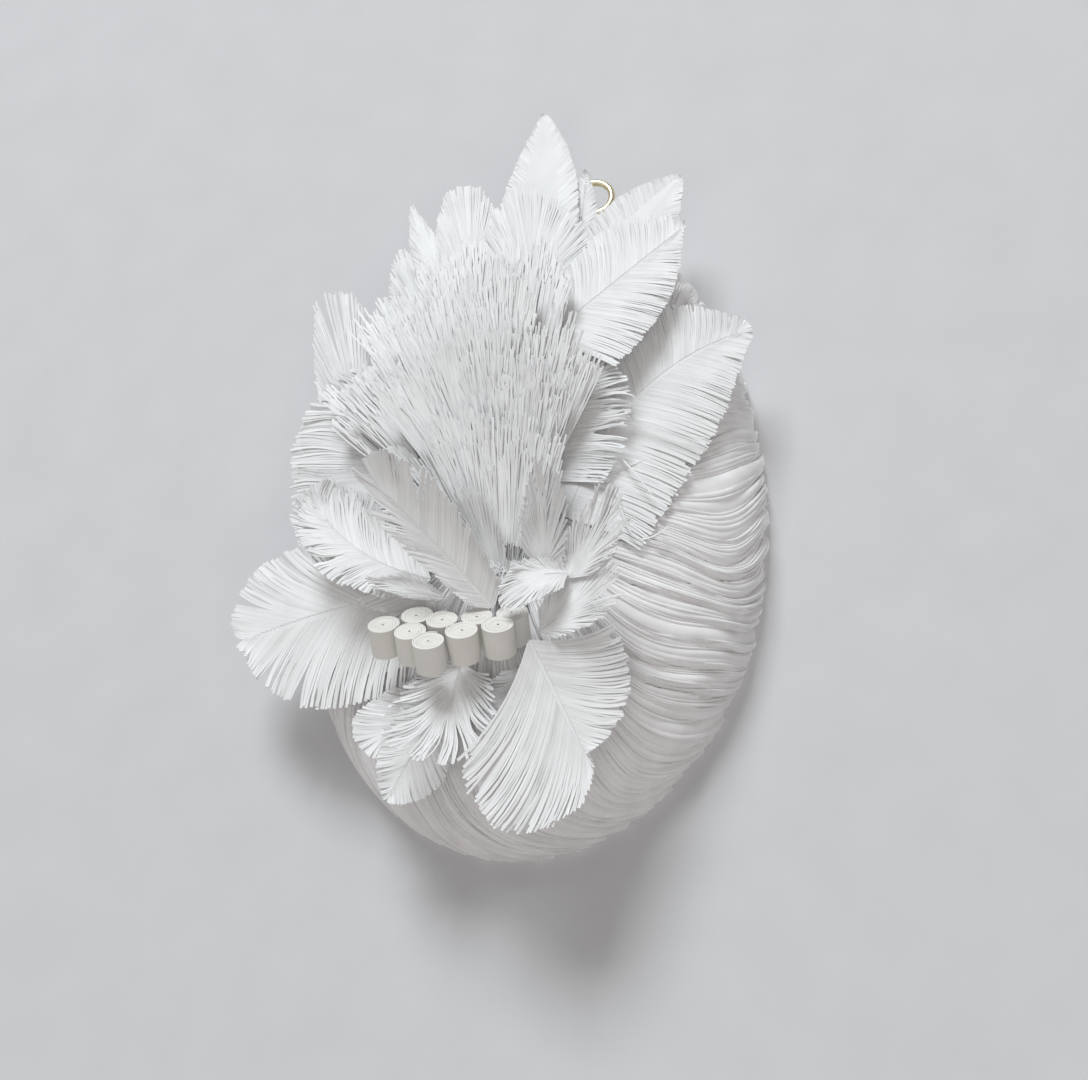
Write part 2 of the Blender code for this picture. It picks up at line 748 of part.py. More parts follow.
def roll_section():
    """Return the outline of a coil: a round outside and the gap that winds to its core."""
    mouth = math.radians(ROLL_MOUTH)
    outside = [2 * math.pi * step / ROLL_SIDES for step in range(ROLL_SIDES)]
    points = [polar(ROLL_RADIUS, angle) for angle in outside]
    points.append(polar(ROLL_RADIUS, -mouth))
    start = ROLL_RADIUS - ROLL_LAP - 0.5 * ROLL_LAP_GAP
    count = ROLL_TURNS * ROLL_STEPS
    wall = []
    for step in range(count + 1):
        radius = start + (ROLL_CORE - start) * step / count
        angle = 2 * math.pi * step / ROLL_STEPS
        points.append(polar(radius - 0.5 * ROLL_LAP_GAP, angle if step else -0.5 * mouth))
        wall.append(polar(radius + 0.5 * ROLL_LAP_GAP, angle))
    return points + wall[::-1]


def roll_mesh():
    """Return the mesh of one coil, standing on its lower end."""
    shape = bmesh.new()
    end = shape.faces.new([shape.verts.new(point) for point in roll_section()])
    grown = bmesh.ops.extrude_face_region(shape, geom=[end], use_keep_orig=True)
    moved = [part for part in grown["geom"] if isinstance(part, bmesh.types.BMVert)]
    bmesh.ops.translate(shape, verts=moved, vec=(0, 0, ROLL_LENGTH))
    bmesh.ops.recalc_face_normals(shape, faces=shape.faces)
    mesh = bpy.data.meshes.new("paper_roll")
    shape.to_mesh(mesh)
    shape.free()
    return mesh


def roll_cluster():
    """Return the empty that leans the coils, with the first coil's top at its place."""
    cluster = bpy.data.objects.new("roll_cluster", None)
    bpy.context.scene.collection.objects.link(cluster)
    cluster.parent = bpy.data.objects["sculpture"]
    lean = math.radians(ROLL_LEAN)
    drop = ROLL_LENGTH * math.sin(lean)
    across, up = on_body(ROLL_CENTRE)
    cluster.location = to_world((across, up - drop, 0.0))
    cluster.rotation_euler = (0.5 * math.pi - lean, math.radians(ROLL_SIDE_LEAN), 0)
    return cluster


def add_rolls(relief, finish):
    """Pack the coils side by side and lower them together until the rear ones touch."""
    cluster = roll_cluster()
    rolls = []
    for number, (across, up, push, turn) in enumerate(ROLLS, start=1):
        roll = add_object(f"paper_roll_{number:02d}", roll_mesh(), finish, smooth_angle=ROLL_SMOOTH)
        roll.parent = cluster
        roll.location = Vector((across, up, push)) * MM
        roll.rotation_euler = (0, 0, math.radians(turn))
        rolls.append(roll)
    bpy.context.view_layer.update()
    casts = [mesh_cast(relief, roll.data, roll.matrix_world) for roll in rolls]
    cells = np.concatenate([cast[0] for cast in casts])
    heights = np.concatenate([cast[1] for cast in casts])
    lift = relief.lift_needed(cells, heights)
    cluster.location.y -= lift
    relief.cover(cells, heights + lift)


def main():
    """Build the sculpture from the wall outwards."""
    remove_start_objects()
    frame = bpy.data.objects.new("sculpture", None)
    bpy.context.scene.collection.objects.link(frame)
    paper = material("plume_paper", (0.86, 0.86, 0.87), 0.7)
    body_paper = material("body_paper", (0.84, 0.83, 0.83), 0.75)
    roll_paper = material("roll_paper", (0.85, 0.84, 0.82), 0.8)
    card = material("card", (0.78, 0.77, 0.75), 0.85)
    brass = material("brass", (0.78, 0.66, 0.40), 0.3, 1.0)
    relief = Relief()
    add_card(card)
    add_body(relief, body_paper)
    add_eye(brass)
    add_plumes(CROWN, relief, paper)
    add_plumes(RIGHT_SIDE, relief, paper)
    add_plumes(LEFT_SIDE, relief, paper)
    add_plumes(BOTTOM, relief, paper)
    add_crest(relief, paper)
    add_rolls(relief, roll_paper)
    add_plumes(CENTRE, relief, paper)
    add_plumes(THROAT, relief, paper)


main()
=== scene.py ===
import math
from typing import NamedTuple

import bpy
import numpy as np
from mathutils import Euler, Matrix, Vector
from mathutils.bvhtree import BVHTree


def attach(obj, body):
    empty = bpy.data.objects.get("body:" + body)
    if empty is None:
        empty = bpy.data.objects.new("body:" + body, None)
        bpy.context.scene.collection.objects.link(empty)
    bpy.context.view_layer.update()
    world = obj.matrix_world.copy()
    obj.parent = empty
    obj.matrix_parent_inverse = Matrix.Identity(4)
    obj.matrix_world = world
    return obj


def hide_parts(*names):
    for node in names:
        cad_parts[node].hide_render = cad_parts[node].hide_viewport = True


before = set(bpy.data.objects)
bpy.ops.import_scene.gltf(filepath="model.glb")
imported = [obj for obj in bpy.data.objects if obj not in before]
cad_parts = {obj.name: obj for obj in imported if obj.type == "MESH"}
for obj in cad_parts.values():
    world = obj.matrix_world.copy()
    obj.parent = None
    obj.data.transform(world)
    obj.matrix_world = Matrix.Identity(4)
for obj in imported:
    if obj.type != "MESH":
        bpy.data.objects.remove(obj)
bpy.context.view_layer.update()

MM = 0.001
TINY = 1e-12
chance = np.random.default_rng(20)

# Body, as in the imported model
BODY_CENTRE = -0.003
BODY_HALF_WIDTH = 0.059
BODY_ABOVE = 0.098
BODY_BELOW = 0.076
BODY_DEPTH = 0.037
BODY_BASE = 0.0015
BODY_PLAN_POWER = 2.4
BODY_FACE_POWER = 2.2

# Paper strips that cover the body
STRIPS = 420
STRIP_UNEVEN = 0.45
STRIP_RINGS = 46
STRIP_CROWN = 0.00010
STRIP_GROOVE = 0.00042
STRIP_STEP = 0.00026
STRIP_RAGGED = 0.0009
STRIP_WAVES = (5, 11)
RIM_OVERHANG = 0.0003
RIM_RAGGED = (-1, 0.4)
RIM_WAVE = 0.6
RIM_PROUD = 0.7
RIM_FADE = 8
RIM_UNDER = 0.9

# Columns of each strip: share of its width and relief
STRIP_PROFILE = ((0.0, -STRIP_GROOVE), (0.16, 0), (0.5, STRIP_CROWN), (0.84, 0))

# Overlapping folds of the strips: where each has its crest and how high it is, how it
# swings in height from the rim inwards, and waves that run round it and inwards
FOLDS = 84
FOLD_STEP = 0.0040
FOLD_WANDER = 0.035
FOLD_WANDER_TURN = (2.2, 0.2)
FOLD_RIM_POWER = 0.4
FOLD_CRESTS = (0.55, 0.92)
FOLD_SIZES = (0.15, 1.0)
FOLD_SIZE_POWER = 1.3
FOLD_SWING = 0.4
FOLD_SWING_TURN = 3.0
FOLD_WAVES = ((5, 3), (9, -4))

# How the strips of the body bend anticlockwise towards the rim: tangent of the slant at
# the rim, least and what the most slanted place has more, its angle and its spread in
# degrees, and how far in the bend reaches
SLANT_LEAST = 0.35
SLANT_MORE = 1.5
SLANT_ANGLE = -80.0
SLANT_SPREAD = 60.0
SLANT_DEPTH = 0.030
BODY_MEAN_RADIUS = 0.068

# Brass eye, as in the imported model
EYE_RADIUS = 0.0049
EYE_WIRE = 0.00095
EYE_CENTRE = (0.0, 0.1071, 0.010)
SHANK_FOOT = 0.086

# Coils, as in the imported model
ROLL_RADIUS = 0.00385
ROLL_LENGTH = 0.0075
ROLL_LEAN = 40.0
ROLL_SIDE_LEAN = -3.0
ROLL_COUNT = 9

# Turns of the coils: the deepest that one sinks at the upper end, and the share of it
# at the lower end
TURN_PITCH = 0.00033
TURN_PAPER = 0.000315
TURN_STEPS = 30
TURN_CORE = 0.00028
TURN_WOBBLE = 0.012
TURN_WOBBLE_RATE = 3.1
TURN_WOBBLE_START = 0.7
TURN_DROPS = 12
TURN_DROP = 0.14 * MM
TURN_DROP_BELOW = 0.4

# Barbs: the cut strips of a plume
BARB_PITCH = 0.00052
BARB_PAPER = 0.00012
BARB_FILL = 1.04
BARB_LEAST = 0.00022
BARB_MOST = 0.0012
BARB_WIDTHS = (0.85, 1.1)
BARB_STATIONS = 9
BARB_PROBES = [3, 5, 8]
SPINE_MARKS = 241
RUN_WEIGHTS = (0.3, 0.7)
LEAST_BARBS = 6
LEAST_TIP_BARBS = 3
TIP_CROWDING = 0.8
TIP_REACH_POWER = 1.8

# Where barbs start, as a share of the uncut middle, and how far they reach
BARB_START = 0.12
PLAIN_START = 0.8
PLAIN_RISE = 0.25
BARB_RAGGED = 0.014
BARB_WAVE = 0.02
BARB_REACH = (0.85, 1.02)

# How barbs stray sideways, as shares of their length, lift off the sheet and lean
CLUMP_GATHER = 0.22
BARB_STRAY = 0.010
BARB_WAVER = 0.008
STRAY_POWER = 1.6
SWIRL_WIDTH = 9
SWIRL_TURNS = 0.75
LIFT_STRAY = 0.25
LIFT_ROOM = 0.45
LIFT_POWER = 1.8
HEIGHT_WAVER = 0.05 * MM
BARB_LEAN = 0.22
ROOT_LEAN = 0.35

# Splits in a row of barbs, and barbs that stray on their own
SPLIT_BARBS = 7
SPLIT_WIDTH = 0.0016
SPLIT_DEPTH = 0.5
LOOSE_WIDTH = 0.00038
LOOSE_STATIONS = 24
LOOSE_TURN = -0.8
LOOSE_TWIST = 2.2
LOOSE_FACING = (0.6, 0.3)

# Web: the sheet under the barbs, with its points in the uncut middle and beyond it
SPINE_RIDGE = 0.0002
WEB_DROP = 0.00016
WEB_PAPER = 0.00012
WEB_WAVE = 0.04
WEB_RAGGED = 0.03
WEB_INNER = (0, 0.34, 0.67, 1.0)
WEB_OUTER = (0.35, 0.7, 1.0)

# Crest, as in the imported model
CREST_FOOT = (4.6, -22.4)
CREST_REACH = 0.096
CREST_PEAK_HEADING = 108.0
CREST_FALL = 2.2
CREST_ROOT_WIDTH = 0.0048
CREST_SPREAD = 13.0
TUFT_ROUNDING = 0.16
TUFT_WAVE = 0.05
TUFT_WAVE_TURN = 7.0
TUFT_WAVE_SHIFT = 40000.0
TUFT_STRIPS = 74
TUFT_STATIONS = 7
TUFT_LAYERS = (1.0, 0.93, 0.85, 0.74)
TUFT_BACKED = 0.86
TUFT_BACK_RAGGED = 0.06
TUFT_FOOT = -0.22
TUFT_PROBES = [2, 4, 6]

# How the strips of a tuft vary: reach of clumps and of strips, turns in radians, sway as
# a share of the length, widths, lift in millimetres and lean
TUFT_CLUMPS = (3, 8)
TUFT_REACH = (0.78, 1.0)
TUFT_RAGGED = (0.97, 1.02)
TUFT_GATHER = 0.35
TUFT_SPLAY = 0.05
TUFT_STRAY = 0.03
TUFT_SWAY = 0.014
TUFT_WIDTHS = (1.0, 1.5)
TUFT_LIFT = 0.75
TUFT_LIFT_STRAY = 0.14
TUFT_LIFT_ROOM = 0.5
TUFT_LIFT_POWER = 3
TUFT_LEAN_STRAY = 0.12
LAYER_STEP = 0.25 * MM
LAYER_STRAY = 0.1 * MM
LAYER_ROOM = 0.4

# Camera: the photo's own scale in pixels, and how it is held round the object, as
# azimuth, elevation and roll in degrees
PHOTO_WIDTH = 1088
PHOTO_FOCUS = 1680
SENSOR = 36.0
CAMERA_TURNS = (14.0, -20.0, 8.0)
CAMERA_PLACE = (0.09739, -0.40321, -0.14235)


class Side(NamedTuple):
    """One side of a plume: longest barb in millimetres, outline, sweeps in degrees."""
    longest: float
    outline: str
    sweep_at_root: float
    sweep_at_tip: float


class Plume(NamedTuple):
    """One fringed sheet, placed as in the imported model, with how its strips lie.

    Root and tip are plan places in per cent of the body. The bow is in millimetres.
    Uncut is the share of each strip that stays whole, at the root and at the tip. Lift,
    mess and pitch are shares of the usual lift, disorder and width of the strips. Bend
    and swirl say how far strips bend to the tip and swing aside together, as shares of
    their length. Cleft is the space between clumps in millimetres. Plain sheets show no
    strips in their uncut middle. Backed is the share of the strips that a second sheet
    lies under. Gather is how far the strips' starts are drawn in to the root. Splits are
    places of wide splits, as shares of the row from the left of the root round the tip.
    """
    name: str
    root: tuple
    tip: tuple
    sides: tuple
    bow: float = 0.0
    uncut: tuple = (0.14, 0.30)
    lift: float = 1.0
    mess: float = 1.0
    pitch: float = 1.0
    bend: float = 0.05
    cleft: float = 0.2
    plain: bool = False
    backed: float = 0.93
    gather: float = 0.0
    splits: tuple = ()
    swirl: float = 0.0


# Strips that stray from a plume: plan places and heights out from the wall, mm
LOOSE = {
    "wing_plume": (
        ((22, 9, 38.5), (25.2, 1.5, 38.8), (27.2, -3.0, 38.3), (31, -3.2, 37.2),
         (35.5, 0.4, 36.5)),
        ((23, 27, 38.6), (29, 26.4, 38.2), (34.5, 25.2, 36.6), (41.5, 24.6, 34.0)),
        ((22, 17, 38.8), (26, 13, 39.0), (31, 7.5, 38.4))),
    "wing_under": (
        ((9.6, 34, 45.5), (9.4, 29.8, 46.2), (11, 24.6, 45.6), (12.6, 22.4, 44.8)),
        ((11, 24.6, 43.6), (15, 29.2, 44.4), (21.5, 31.2, 43.8), (25, 30.4, 42.6))),
    "crown_fan": (((-8.5, 50, 50.2), (-7.2, 55.5, 52.2), (-5.4, 61.5, 54.4)),),
}

# Outlines of a side: share of the longest barb at the root, place of the longest along
# the spine, and share at the tip
OUTLINES = {
    "leaf": (0.35, 0.40, 0.20),
    "fan": (0.45, 0.62, 0.72),
    "wedge": (0.90, 0.30, 0.40),
    "point": (0.85, 0.34, 0.17),
    "comb": (1.00, 0.08, 0.05),
    "brush": (0.60, 0.70, 0.95),
}


def both(left, right, outline, sweep_at_root, sweep_at_tip):
    """Return two sides that differ in their longest barb alone."""
    sweeps = (sweep_at_root, sweep_at_tip)
    return Side(left, outline, *sweeps), Side(right, outline, *sweeps)


PLUMES = (
    Plume("crown_sliver", (8.5, 77.6), (6.8, 106.1), both(6, 5, "leaf", 15, 60)),
    Plume("right_leaf", (10.2, 65.3), (47.5, 104.6),
          (Side(13, "leaf", 22, 50), Side(12, "leaf", 20, 58)),
          uncut=(0.35, 0.55), lift=0.6, mess=0.8, plain=True),
    Plume("crown_leaf", (-9.3, 67.3), (-17.8, 125.3), both(13, 15, "point", 30, 63),
          uncut=(0.55, 0.75), lift=0.5, mess=0.7, cleft=0.15, plain=True),
    Plume("left_upper", (-40.7, 40.8), (-74.6, 79.6), both(11, 12, "leaf", 40, 60), gather=0.6),
    Plume("left_leaf", (-40.7, 59.2), (-73.7, 95.9), both(8, 6, "leaf", 35, 70),
          uncut=(0.4, 0.6), plain=True, gather=0.3),
    Plume("round_leaf", (-28.8, 52), (-46.6, 91.3), both(13, 14, "fan", 35, 60),
          uncut=(0.3, 0.5), lift=0.5, mess=0.6, cleft=0.1, gather=0.6),
    Plume("left_tall", (-73.7, 18.4), (-89, 50),
          (Side(21, "brush", 45, 72), Side(17, "brush", 50, 78)),
          bend=0.0, mess=0.7, pitch=0.8, cleft=0.1, backed=0.98, gather=0.7, splits=(0.45,)),
    Plume("crown_fan", (-8.5, 51), (-6.8, 83.7),
          (Side(20, "fan", 20, 60), Side(20, "wedge", 5, 55)),
          uncut=(0.3, 0.5), lift=0.5, mess=0.6, cleft=0.1, gather=0.5),
    Plume("wing_plume", (24.9, 0), (82.5, 59.2),
          (Side(24, "leaf", 20, 45), Side(22, "point", -8, 50)),
          bow=6.5, lift=0.8, cleft=0.5),
    Plume("wing_under", (20.3, 9.2), (18.6, 31.6),
          (Side(6, "brush", -5, 15), Side(16, "brush", -5, 15)),
          mess=2.4, lift=1.4, pitch=0.8, splits=(0.7, 0.82), swirl=0.07),
    Plume("right_plume", (7.6, 42.9), (55.1, 84.7),
          (Side(19, "leaf", 42, 47), Side(19, "comb", 18, 55)), lift=0.8),
    Plume("left_fringe", (-59.3, 4.1), (-67.8, 34.7),
          (Side(27, "wedge", 5, 40), Side(8, "leaf", 20, 50)),
          pitch=1.1, cleft=0.3, lift=1.3, swirl=0.06),
    Plume("left_low", (-42.4, -19.7), (-83.1, 0), both(13, 12, "fan", 20, 50),
          mess=1.4, lift=1.2, swirl=0.12),
    Plume("broad_plume", (-28, -28.9), (-108.5, -40.8),
          (Side(26, "point", 12, 58), Side(29, "point", 45, 72)),
          bow=-2, uncut=(0.25, 0.5), pitch=1.4, cleft=0.6, bend=0.07, backed=0.8,
          splits=(0.3, 0.41, 0.55, 0.66)),
    Plume("low_mid", (-20.3, -35.5), (-59.3, -22.4), both(9, 10, "leaf", 35, 60),
          mess=1.6, lift=1.3, cleft=0.4, splits=(0.3, 0.66), swirl=0.12),
    Plume("curled_plume", (-25.4, -25), (-72.9, -7.9), both(12, 14, "fan", 20, 60),
          bow=3, mess=1.6, lift=1.8, cleft=0.4, bend=0.12, splits=(0.33, 0.6), swirl=0.16),
    Plume("low_left", (-20.3, -55.3), (-39, -69.7), both(11, 12, "fan", 35, 55)),
    Plume("low_leaf", (-15.3, -56.6), (-34.7, -89.5), both(12, 10, "leaf", 25, 58)),
    Plume("throat_fringe", (13.6, -47.4), (11.9, -61.8), both(10, 10, "fan", 30, 60),
          mess=1.6, swirl=0.08),
    Plume("under_roll", (-8.5, -50), (-10.2, -68.4), both(16, 17, "fan", 20, 60),
          mess=2.4, lift=1.8, cleft=0.7, backed=0.7, gather=0.4,
          splits=(0.25, 0.38, 0.5, 0.63, 0.75), swirl=0.08),
    Plume("bottom_plume", (20.3, -44.7), (44.1, -74.3),
          (Side(19.5, "comb", 13, 50), Side(34, "wedge", 33, 55)), bend=0.08, cleft=0.6),
    Plume("inner_plume", (23.7, -42.1), (44.1, -28.9), both(11, 9, "fan", 30, 60),
          mess=1.6, pitch=0.8, gather=0.7, splits=(0.6,)),
    Plume("centre_left", (3.4, -27.6), (-8.5, -6.6), both(8, 7, "fan", 35, 60),
          mess=1.6, pitch=0.75, gather=0.8),
    Plume("centre_right", (33.9, -26.3), (43.2, -13.2), both(11, 11, "brush", 35, 82),
          mess=2.2, lift=1.8, pitch=0.75, gather=0.9, splits=(0.4, 0.62), swirl=0.08),
    Plume("centre_tuft", (22, -25), (23.7, -13.2), both(11, 11, "brush", 40, 85),
          mess=1.6, lift=1.8, pitch=0.75, gather=0.9, splits=(0.55,)),
    Plume("curled_tuft", (33.9, -25), (14.4, -28.9), both(9, 5, "fan", 20, 45),
          mess=1.6, lift=1.4, pitch=0.75, gather=0.6, swirl=0.1),
    Plume("mid_tuft", (-18.6, -30.3), (-47.5, -28.9), both(4, 5, "leaf", 45, 65),
          mess=2.0, pitch=0.75, gather=0.6, swirl=0.1),
    Plume("standing_petal", (3.4, -34.2), (-35.6, -9.9),
          (Side(11, "fan", 45, 78), Side(11, "fan", 20, 42)),
          uncut=(0.7, 0.2), mess=1.3, pitch=0.85, bend=0.02, cleft=0.4,
          splits=(0.27, 0.36, 0.6)),
)


# Rows of tufts in the crest: count, reach as a share, first and last heading in degrees,
# and length in millimetres
CREST_ROWS = (
    (4, 1.00, 132, 93, 42),
    (4, 0.84, 128, 84, 36),
    (4, 0.64, 136, 88, 30),
    (3, 0.46, 126, 90, 36),
)


# Meshes

def to_world(plan, height):
    """Turn plan places (across, up) and heights out from the wall into X, Y, Z."""
    return np.stack([plan[..., 0], -height, plan[..., 1]], axis=-1)


def new_object(name, data):
    """Return a new object in the scene."""
    made = bpy.data.objects.new(name, data)
    bpy.context.scene.collection.objects.link(made)
    return made


def add_piece(name, points, faces, finish, nodes, smooth=40):
    """Add a mesh, smooth up to an angle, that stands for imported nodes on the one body."""
    mesh = bpy.data.meshes.new(name)
    mesh.from_pydata(points.tolist(), [], faces)
    mesh.update()
    mesh.shade_smooth()
    mesh.set_sharp_from_angle(angle=math.radians(smooth))
    mesh.materials.append(finish)
    piece = new_object(name, mesh)
    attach(piece, "root")
    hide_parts(*nodes)


def unit(vectors):
    """Return vectors at length one."""
    return vectors / np.maximum(np.linalg.norm(vectors, axis=-1, keepdims=True), TINY)


def left_of(vectors):
    """Return plan vectors turned a quarter turn anticlockwise."""
    return np.stack([-vectors[..., 1], vectors[..., 0]], axis=-1)


def ribbons(centres, normals, half_widths, thickness):
    """Return the points and faces of flat strips that follow lines of stations."""
    along = unit(np.gradient(centres, axis=1))
    sides = unit(np.cross(along, normals))
    ups = unit(np.cross(sides, along)) * thickness / 2
    outs = sides * half_widths[..., None]
    points = np.stack([centres - outs - ups, centres + outs - ups,
                       centres + outs + ups, centres - outs + ups], axis=2)
    index = np.arange(points[..., 0].size).reshape(points.shape[:3])
    near, far = index[:, :-1], index[:, 1:]
    faces = [index[:, 0], index[:, -1, ::-1]]
    for corner in range(4):
        after = (corner + 1) % 4
        sheet = [near[..., corner], far[..., corner], far[..., after], near[..., after]]
        faces.append(np.stack(sheet, axis=-1).reshape(-1, 4))
    return points.reshape(-1, 3), np.concatenate(faces).tolist()


def thick_sheet(points, faces, thickness):
    """Return an open sheet given thickness: both sides and its rim."""
    normals = np.zeros_like(points)
    for face in faces:
        corners = points[list(face)]
        normal = np.cross(corners[1] - corners[0], corners[2] - corners[0])
        normals[list(face)] += normal
    shift = unit(normals) * thickness / 2
    count = len(points)
    edges = dict.fromkeys(pair for face in faces for pair in zip(face, face[1:] + face[:1]))
    rim = [pair for pair in edges if pair[::-1] not in edges]
    walls = [(end, start, start + count, end + count) for start, end in rim]
    under = [tuple(corner + count for corner in face[::-1]) for face in faces]
    both_sides = np.concatenate([points + shift, points - shift])
    return both_sides, list(faces) + under + walls


def grid_faces(columns, rows, flipped=False):
    """Return the faces between the points of a sheet that are given column by column."""
    low = np.arange(columns * rows).reshape(columns, rows)[:-1, :-1].reshape(-1, 1)
    corners = [0, rows, rows + 1, 1] if flipped else [0, 1, rows + 1, rows]
    return (low + corners).tolist()


def band(near, far):
    """Return the faces between two closed rings of point numbers."""
    return list(zip(near, near[1:] + near[:1], far[1:] + far[:1], far))


def merged(parts):
    """Join (points, faces) pairs into one."""
    points, faces, start = [], [], 0
    for part_points, part_faces in parts:
        points.append(part_points)
        faces += [tuple(corner + start for corner in face) for face in part_faces]
        start += len(part_points)
    return np.concatenate(points), faces


# Packed sheets

SLOPE_STEP = 0.2 * MM
OUTWARD = Vector((0, -1, 0))
FREE_LIMIT = 0.006
OVER_SHEET = 0.0005


def on_body(place):
    """Return the plan place of a point given in per cent of the body's half sizes."""
    across, up = place
    half_height = BODY_ABOVE if up >= 0 else BODY_BELOW
    return np.array([BODY_CENTRE + BODY_HALF_WIDTH * across / 100, half_height * up / 100])


def node_points(name):
    """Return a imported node's points as across, up, out."""
    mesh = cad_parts[name].data
    points = np.empty(len(mesh.vertices) * 3)
    mesh.vertices.foreach_get("co", points)
    points = points.reshape(-1, 3)
    return np.stack([points[:, 0], points[:, 2], -points[:, 1]], axis=1)


class Surface:
    """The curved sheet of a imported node: its height over any plan place."""

    def __init__(self, name, root, direction, length):
        self.root, self.direction, self.length = root, direction, length
        points = node_points(name)
        self.factors = np.linalg.lstsq(self.terms(points[:, :2]), points[:, 2], rcond=None)[0]

    def terms(self, plan):
        """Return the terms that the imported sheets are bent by."""
        offset = (plan - self.root) / self.length
        along = offset @ self.direction
        across = offset @ left_of(self.direction)
        ahead = np.clip(along, 0, None)
        parts = (np.ones_like(along), along, across, along ** 2, along * across,
                 across ** 2, ahead, ahead ** 2)
        return np.stack(parts, axis=-1)

    def ahead(self, plan):
        """Return plan places with those behind the root moved up to it."""
        behind = np.clip((plan - self.root) @ self.direction, None, 0)
        return plan - behind[..., None] * self.direction

    def height(self, plan):
        """Return the height of the middle of the paper."""
        return self.terms(plan) @ self.factors

    def normal(self, plan):
        """Return the direction that faces out of the paper, in X, Y, Z."""
        across, up = (
            (self.height(plan + step) - self.height(plan - step)) / (2 * SLOPE_STEP)
            for step in ([SLOPE_STEP, 0], [0, SLOPE_STEP]))
        return unit(np.stack([-across, -np.ones_like(up), -up], axis=-1))


def packed_tree():
    """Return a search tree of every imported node."""
    meshes = [node.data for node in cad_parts.values()]
    points, faces = merged([([tuple(vertex.co) for vertex in mesh.vertices],
                             [tuple(polygon.vertices) for polygon in mesh.polygons])
                            for mesh in meshes])
    return BVHTree.FromPolygons(points.tolist(), faces)


TREE = packed_tree()


def room_over(lines, height, probes):
    """Return how much room lies over each line at its probes, up to a limit."""
    spots = to_world(lines[:, probes], height[:, probes] + OVER_SHEET)
    room = np.full(spots.shape[:2], FREE_LIMIT)
    for index in np.ndindex(room.shape):
        hit, _, _, distance = TREE.ray_cast(Vector(spots[index]), OUTWARD, FREE_LIMIT)
        if hit is not None:
            room[index] = distance
    return room.min(axis=1)


# Chance

def soft_noise(count, width):
    """Return a row of random values that change smoothly over a width, about -1 to 1."""
    values = chance.normal(size=count + 6 * width)
    kernel = np.hanning(2 * width + 1)[1:-1]
    smooth = np.convolve(values, kernel / np.sqrt(np.sum(kernel ** 2)), mode="same")
    return np.clip(smooth[3 * width:3 * width + count], -2, 2) / 2


def clumps(count, least=2, most=6):
    """Return a clump number for each of a row of barbs."""
    labels = []
    while len(labels) < count:
        labels += [len(set(labels))] * int(chance.integers(least, most + 1))
    return np.array(labels[:count])


def clump_means(labels, values):
    """Return for each barb the mean of its clump."""
    sums = np.zeros((labels.max() + 1,) + values.shape[1:])
    np.add.at(sums, labels, values)
    counts = np.bincount(labels).reshape((-1,) + (1,) * (values.ndim - 1))
    return (sums / counts)[labels]


def clump_chance(labels, low, high):
    """Return one random value for each clump, repeated for its barbs."""
    return chance.uniform(low, high, labels.max() + 1)[labels]


# Plumes

def barb_share(outline, places):
    """Return barb lengths along the spine as shares of the longest."""
    at_root, peak, at_tip = OUTLINES[outline]
    rise = at_root + (1 - at_root) * np.sin(0.5 * np.pi * places / peak)
    fall = at_tip + (1 - at_tip) * np.cos(0.5 * np.pi * (places - peak) / (1 - peak))
    return np.where(places < peak, rise, fall)


def turned(vectors, angles):
    """Return plan vectors turned anticlockwise by angles in radians."""
    cos, sin = np.cos(angles), np.sin(angles)
    x, y = vectors[..., 0], vectors[..., 1]
    return np.stack([x * cos - y * sin, x * sin + y * cos], axis=-1)


def middles(count):
    """Return the middles of equal parts of a row, as shares of it."""
    return (np.arange(count) + 0.5) / count


def sidestep(directions, steps):
    """Return how far plan steps go to the side of directions."""
    return np.abs(directions[..., 0] * steps[..., 1] - directions[..., 1] * steps[..., 0])


def spine(plume, places):
    """Return plan places and headings along a plume's bowed spine."""
    root, tip = on_body(plume.root), on_body(plume.tip)
    chord = tip - root
    side = left_of(chord) / np.hypot(*chord)
    bow = 4 * plume.bow * MM
    spots = root + np.outer(places, chord) + np.outer(bow * places * (1 - places), side)
    return spots, unit(chord + np.outer(bow * (1 - 2 * places), side))


def side_lines(plume, side, turn, places):
    """Return the starts and ends of one side's barbs at places along the spine."""
    starts, headings = spine(plume, places)
    sweep = side.sweep_at_root + (side.sweep_at_tip - side.sweep_at_root) * places
    directions = turned(headings, turn * np.radians(90 - sweep))
    lengths = side.longest * MM * barb_share(side.outline, places)
    return starts, starts + directions * lengths[:, None]


def side_barbs(plume, side, turn):
    """Return one side's barbs and their places, root first, as evenly cut as they can be."""
    grid = np.linspace(0, 1, SPINE_MARKS)
    lines = side_lines(plume, side, turn, grid)
    directions = unit(lines[1] - lines[0])[:-1]
    at_start, at_end = (sidestep(directions, np.diff(line, axis=0)) for line in lines)
    steps = RUN_WEIGHTS[0] * at_start + RUN_WEIGHTS[1] * at_end
    run = np.concatenate([[0], np.cumsum(steps)])
    count = max(LEAST_BARBS, round(run[-1] / (BARB_PITCH * plume.pitch)))
    places = np.interp(middles(count) * run[-1], run, grid)
    return (*side_lines(plume, side, turn, places), places)


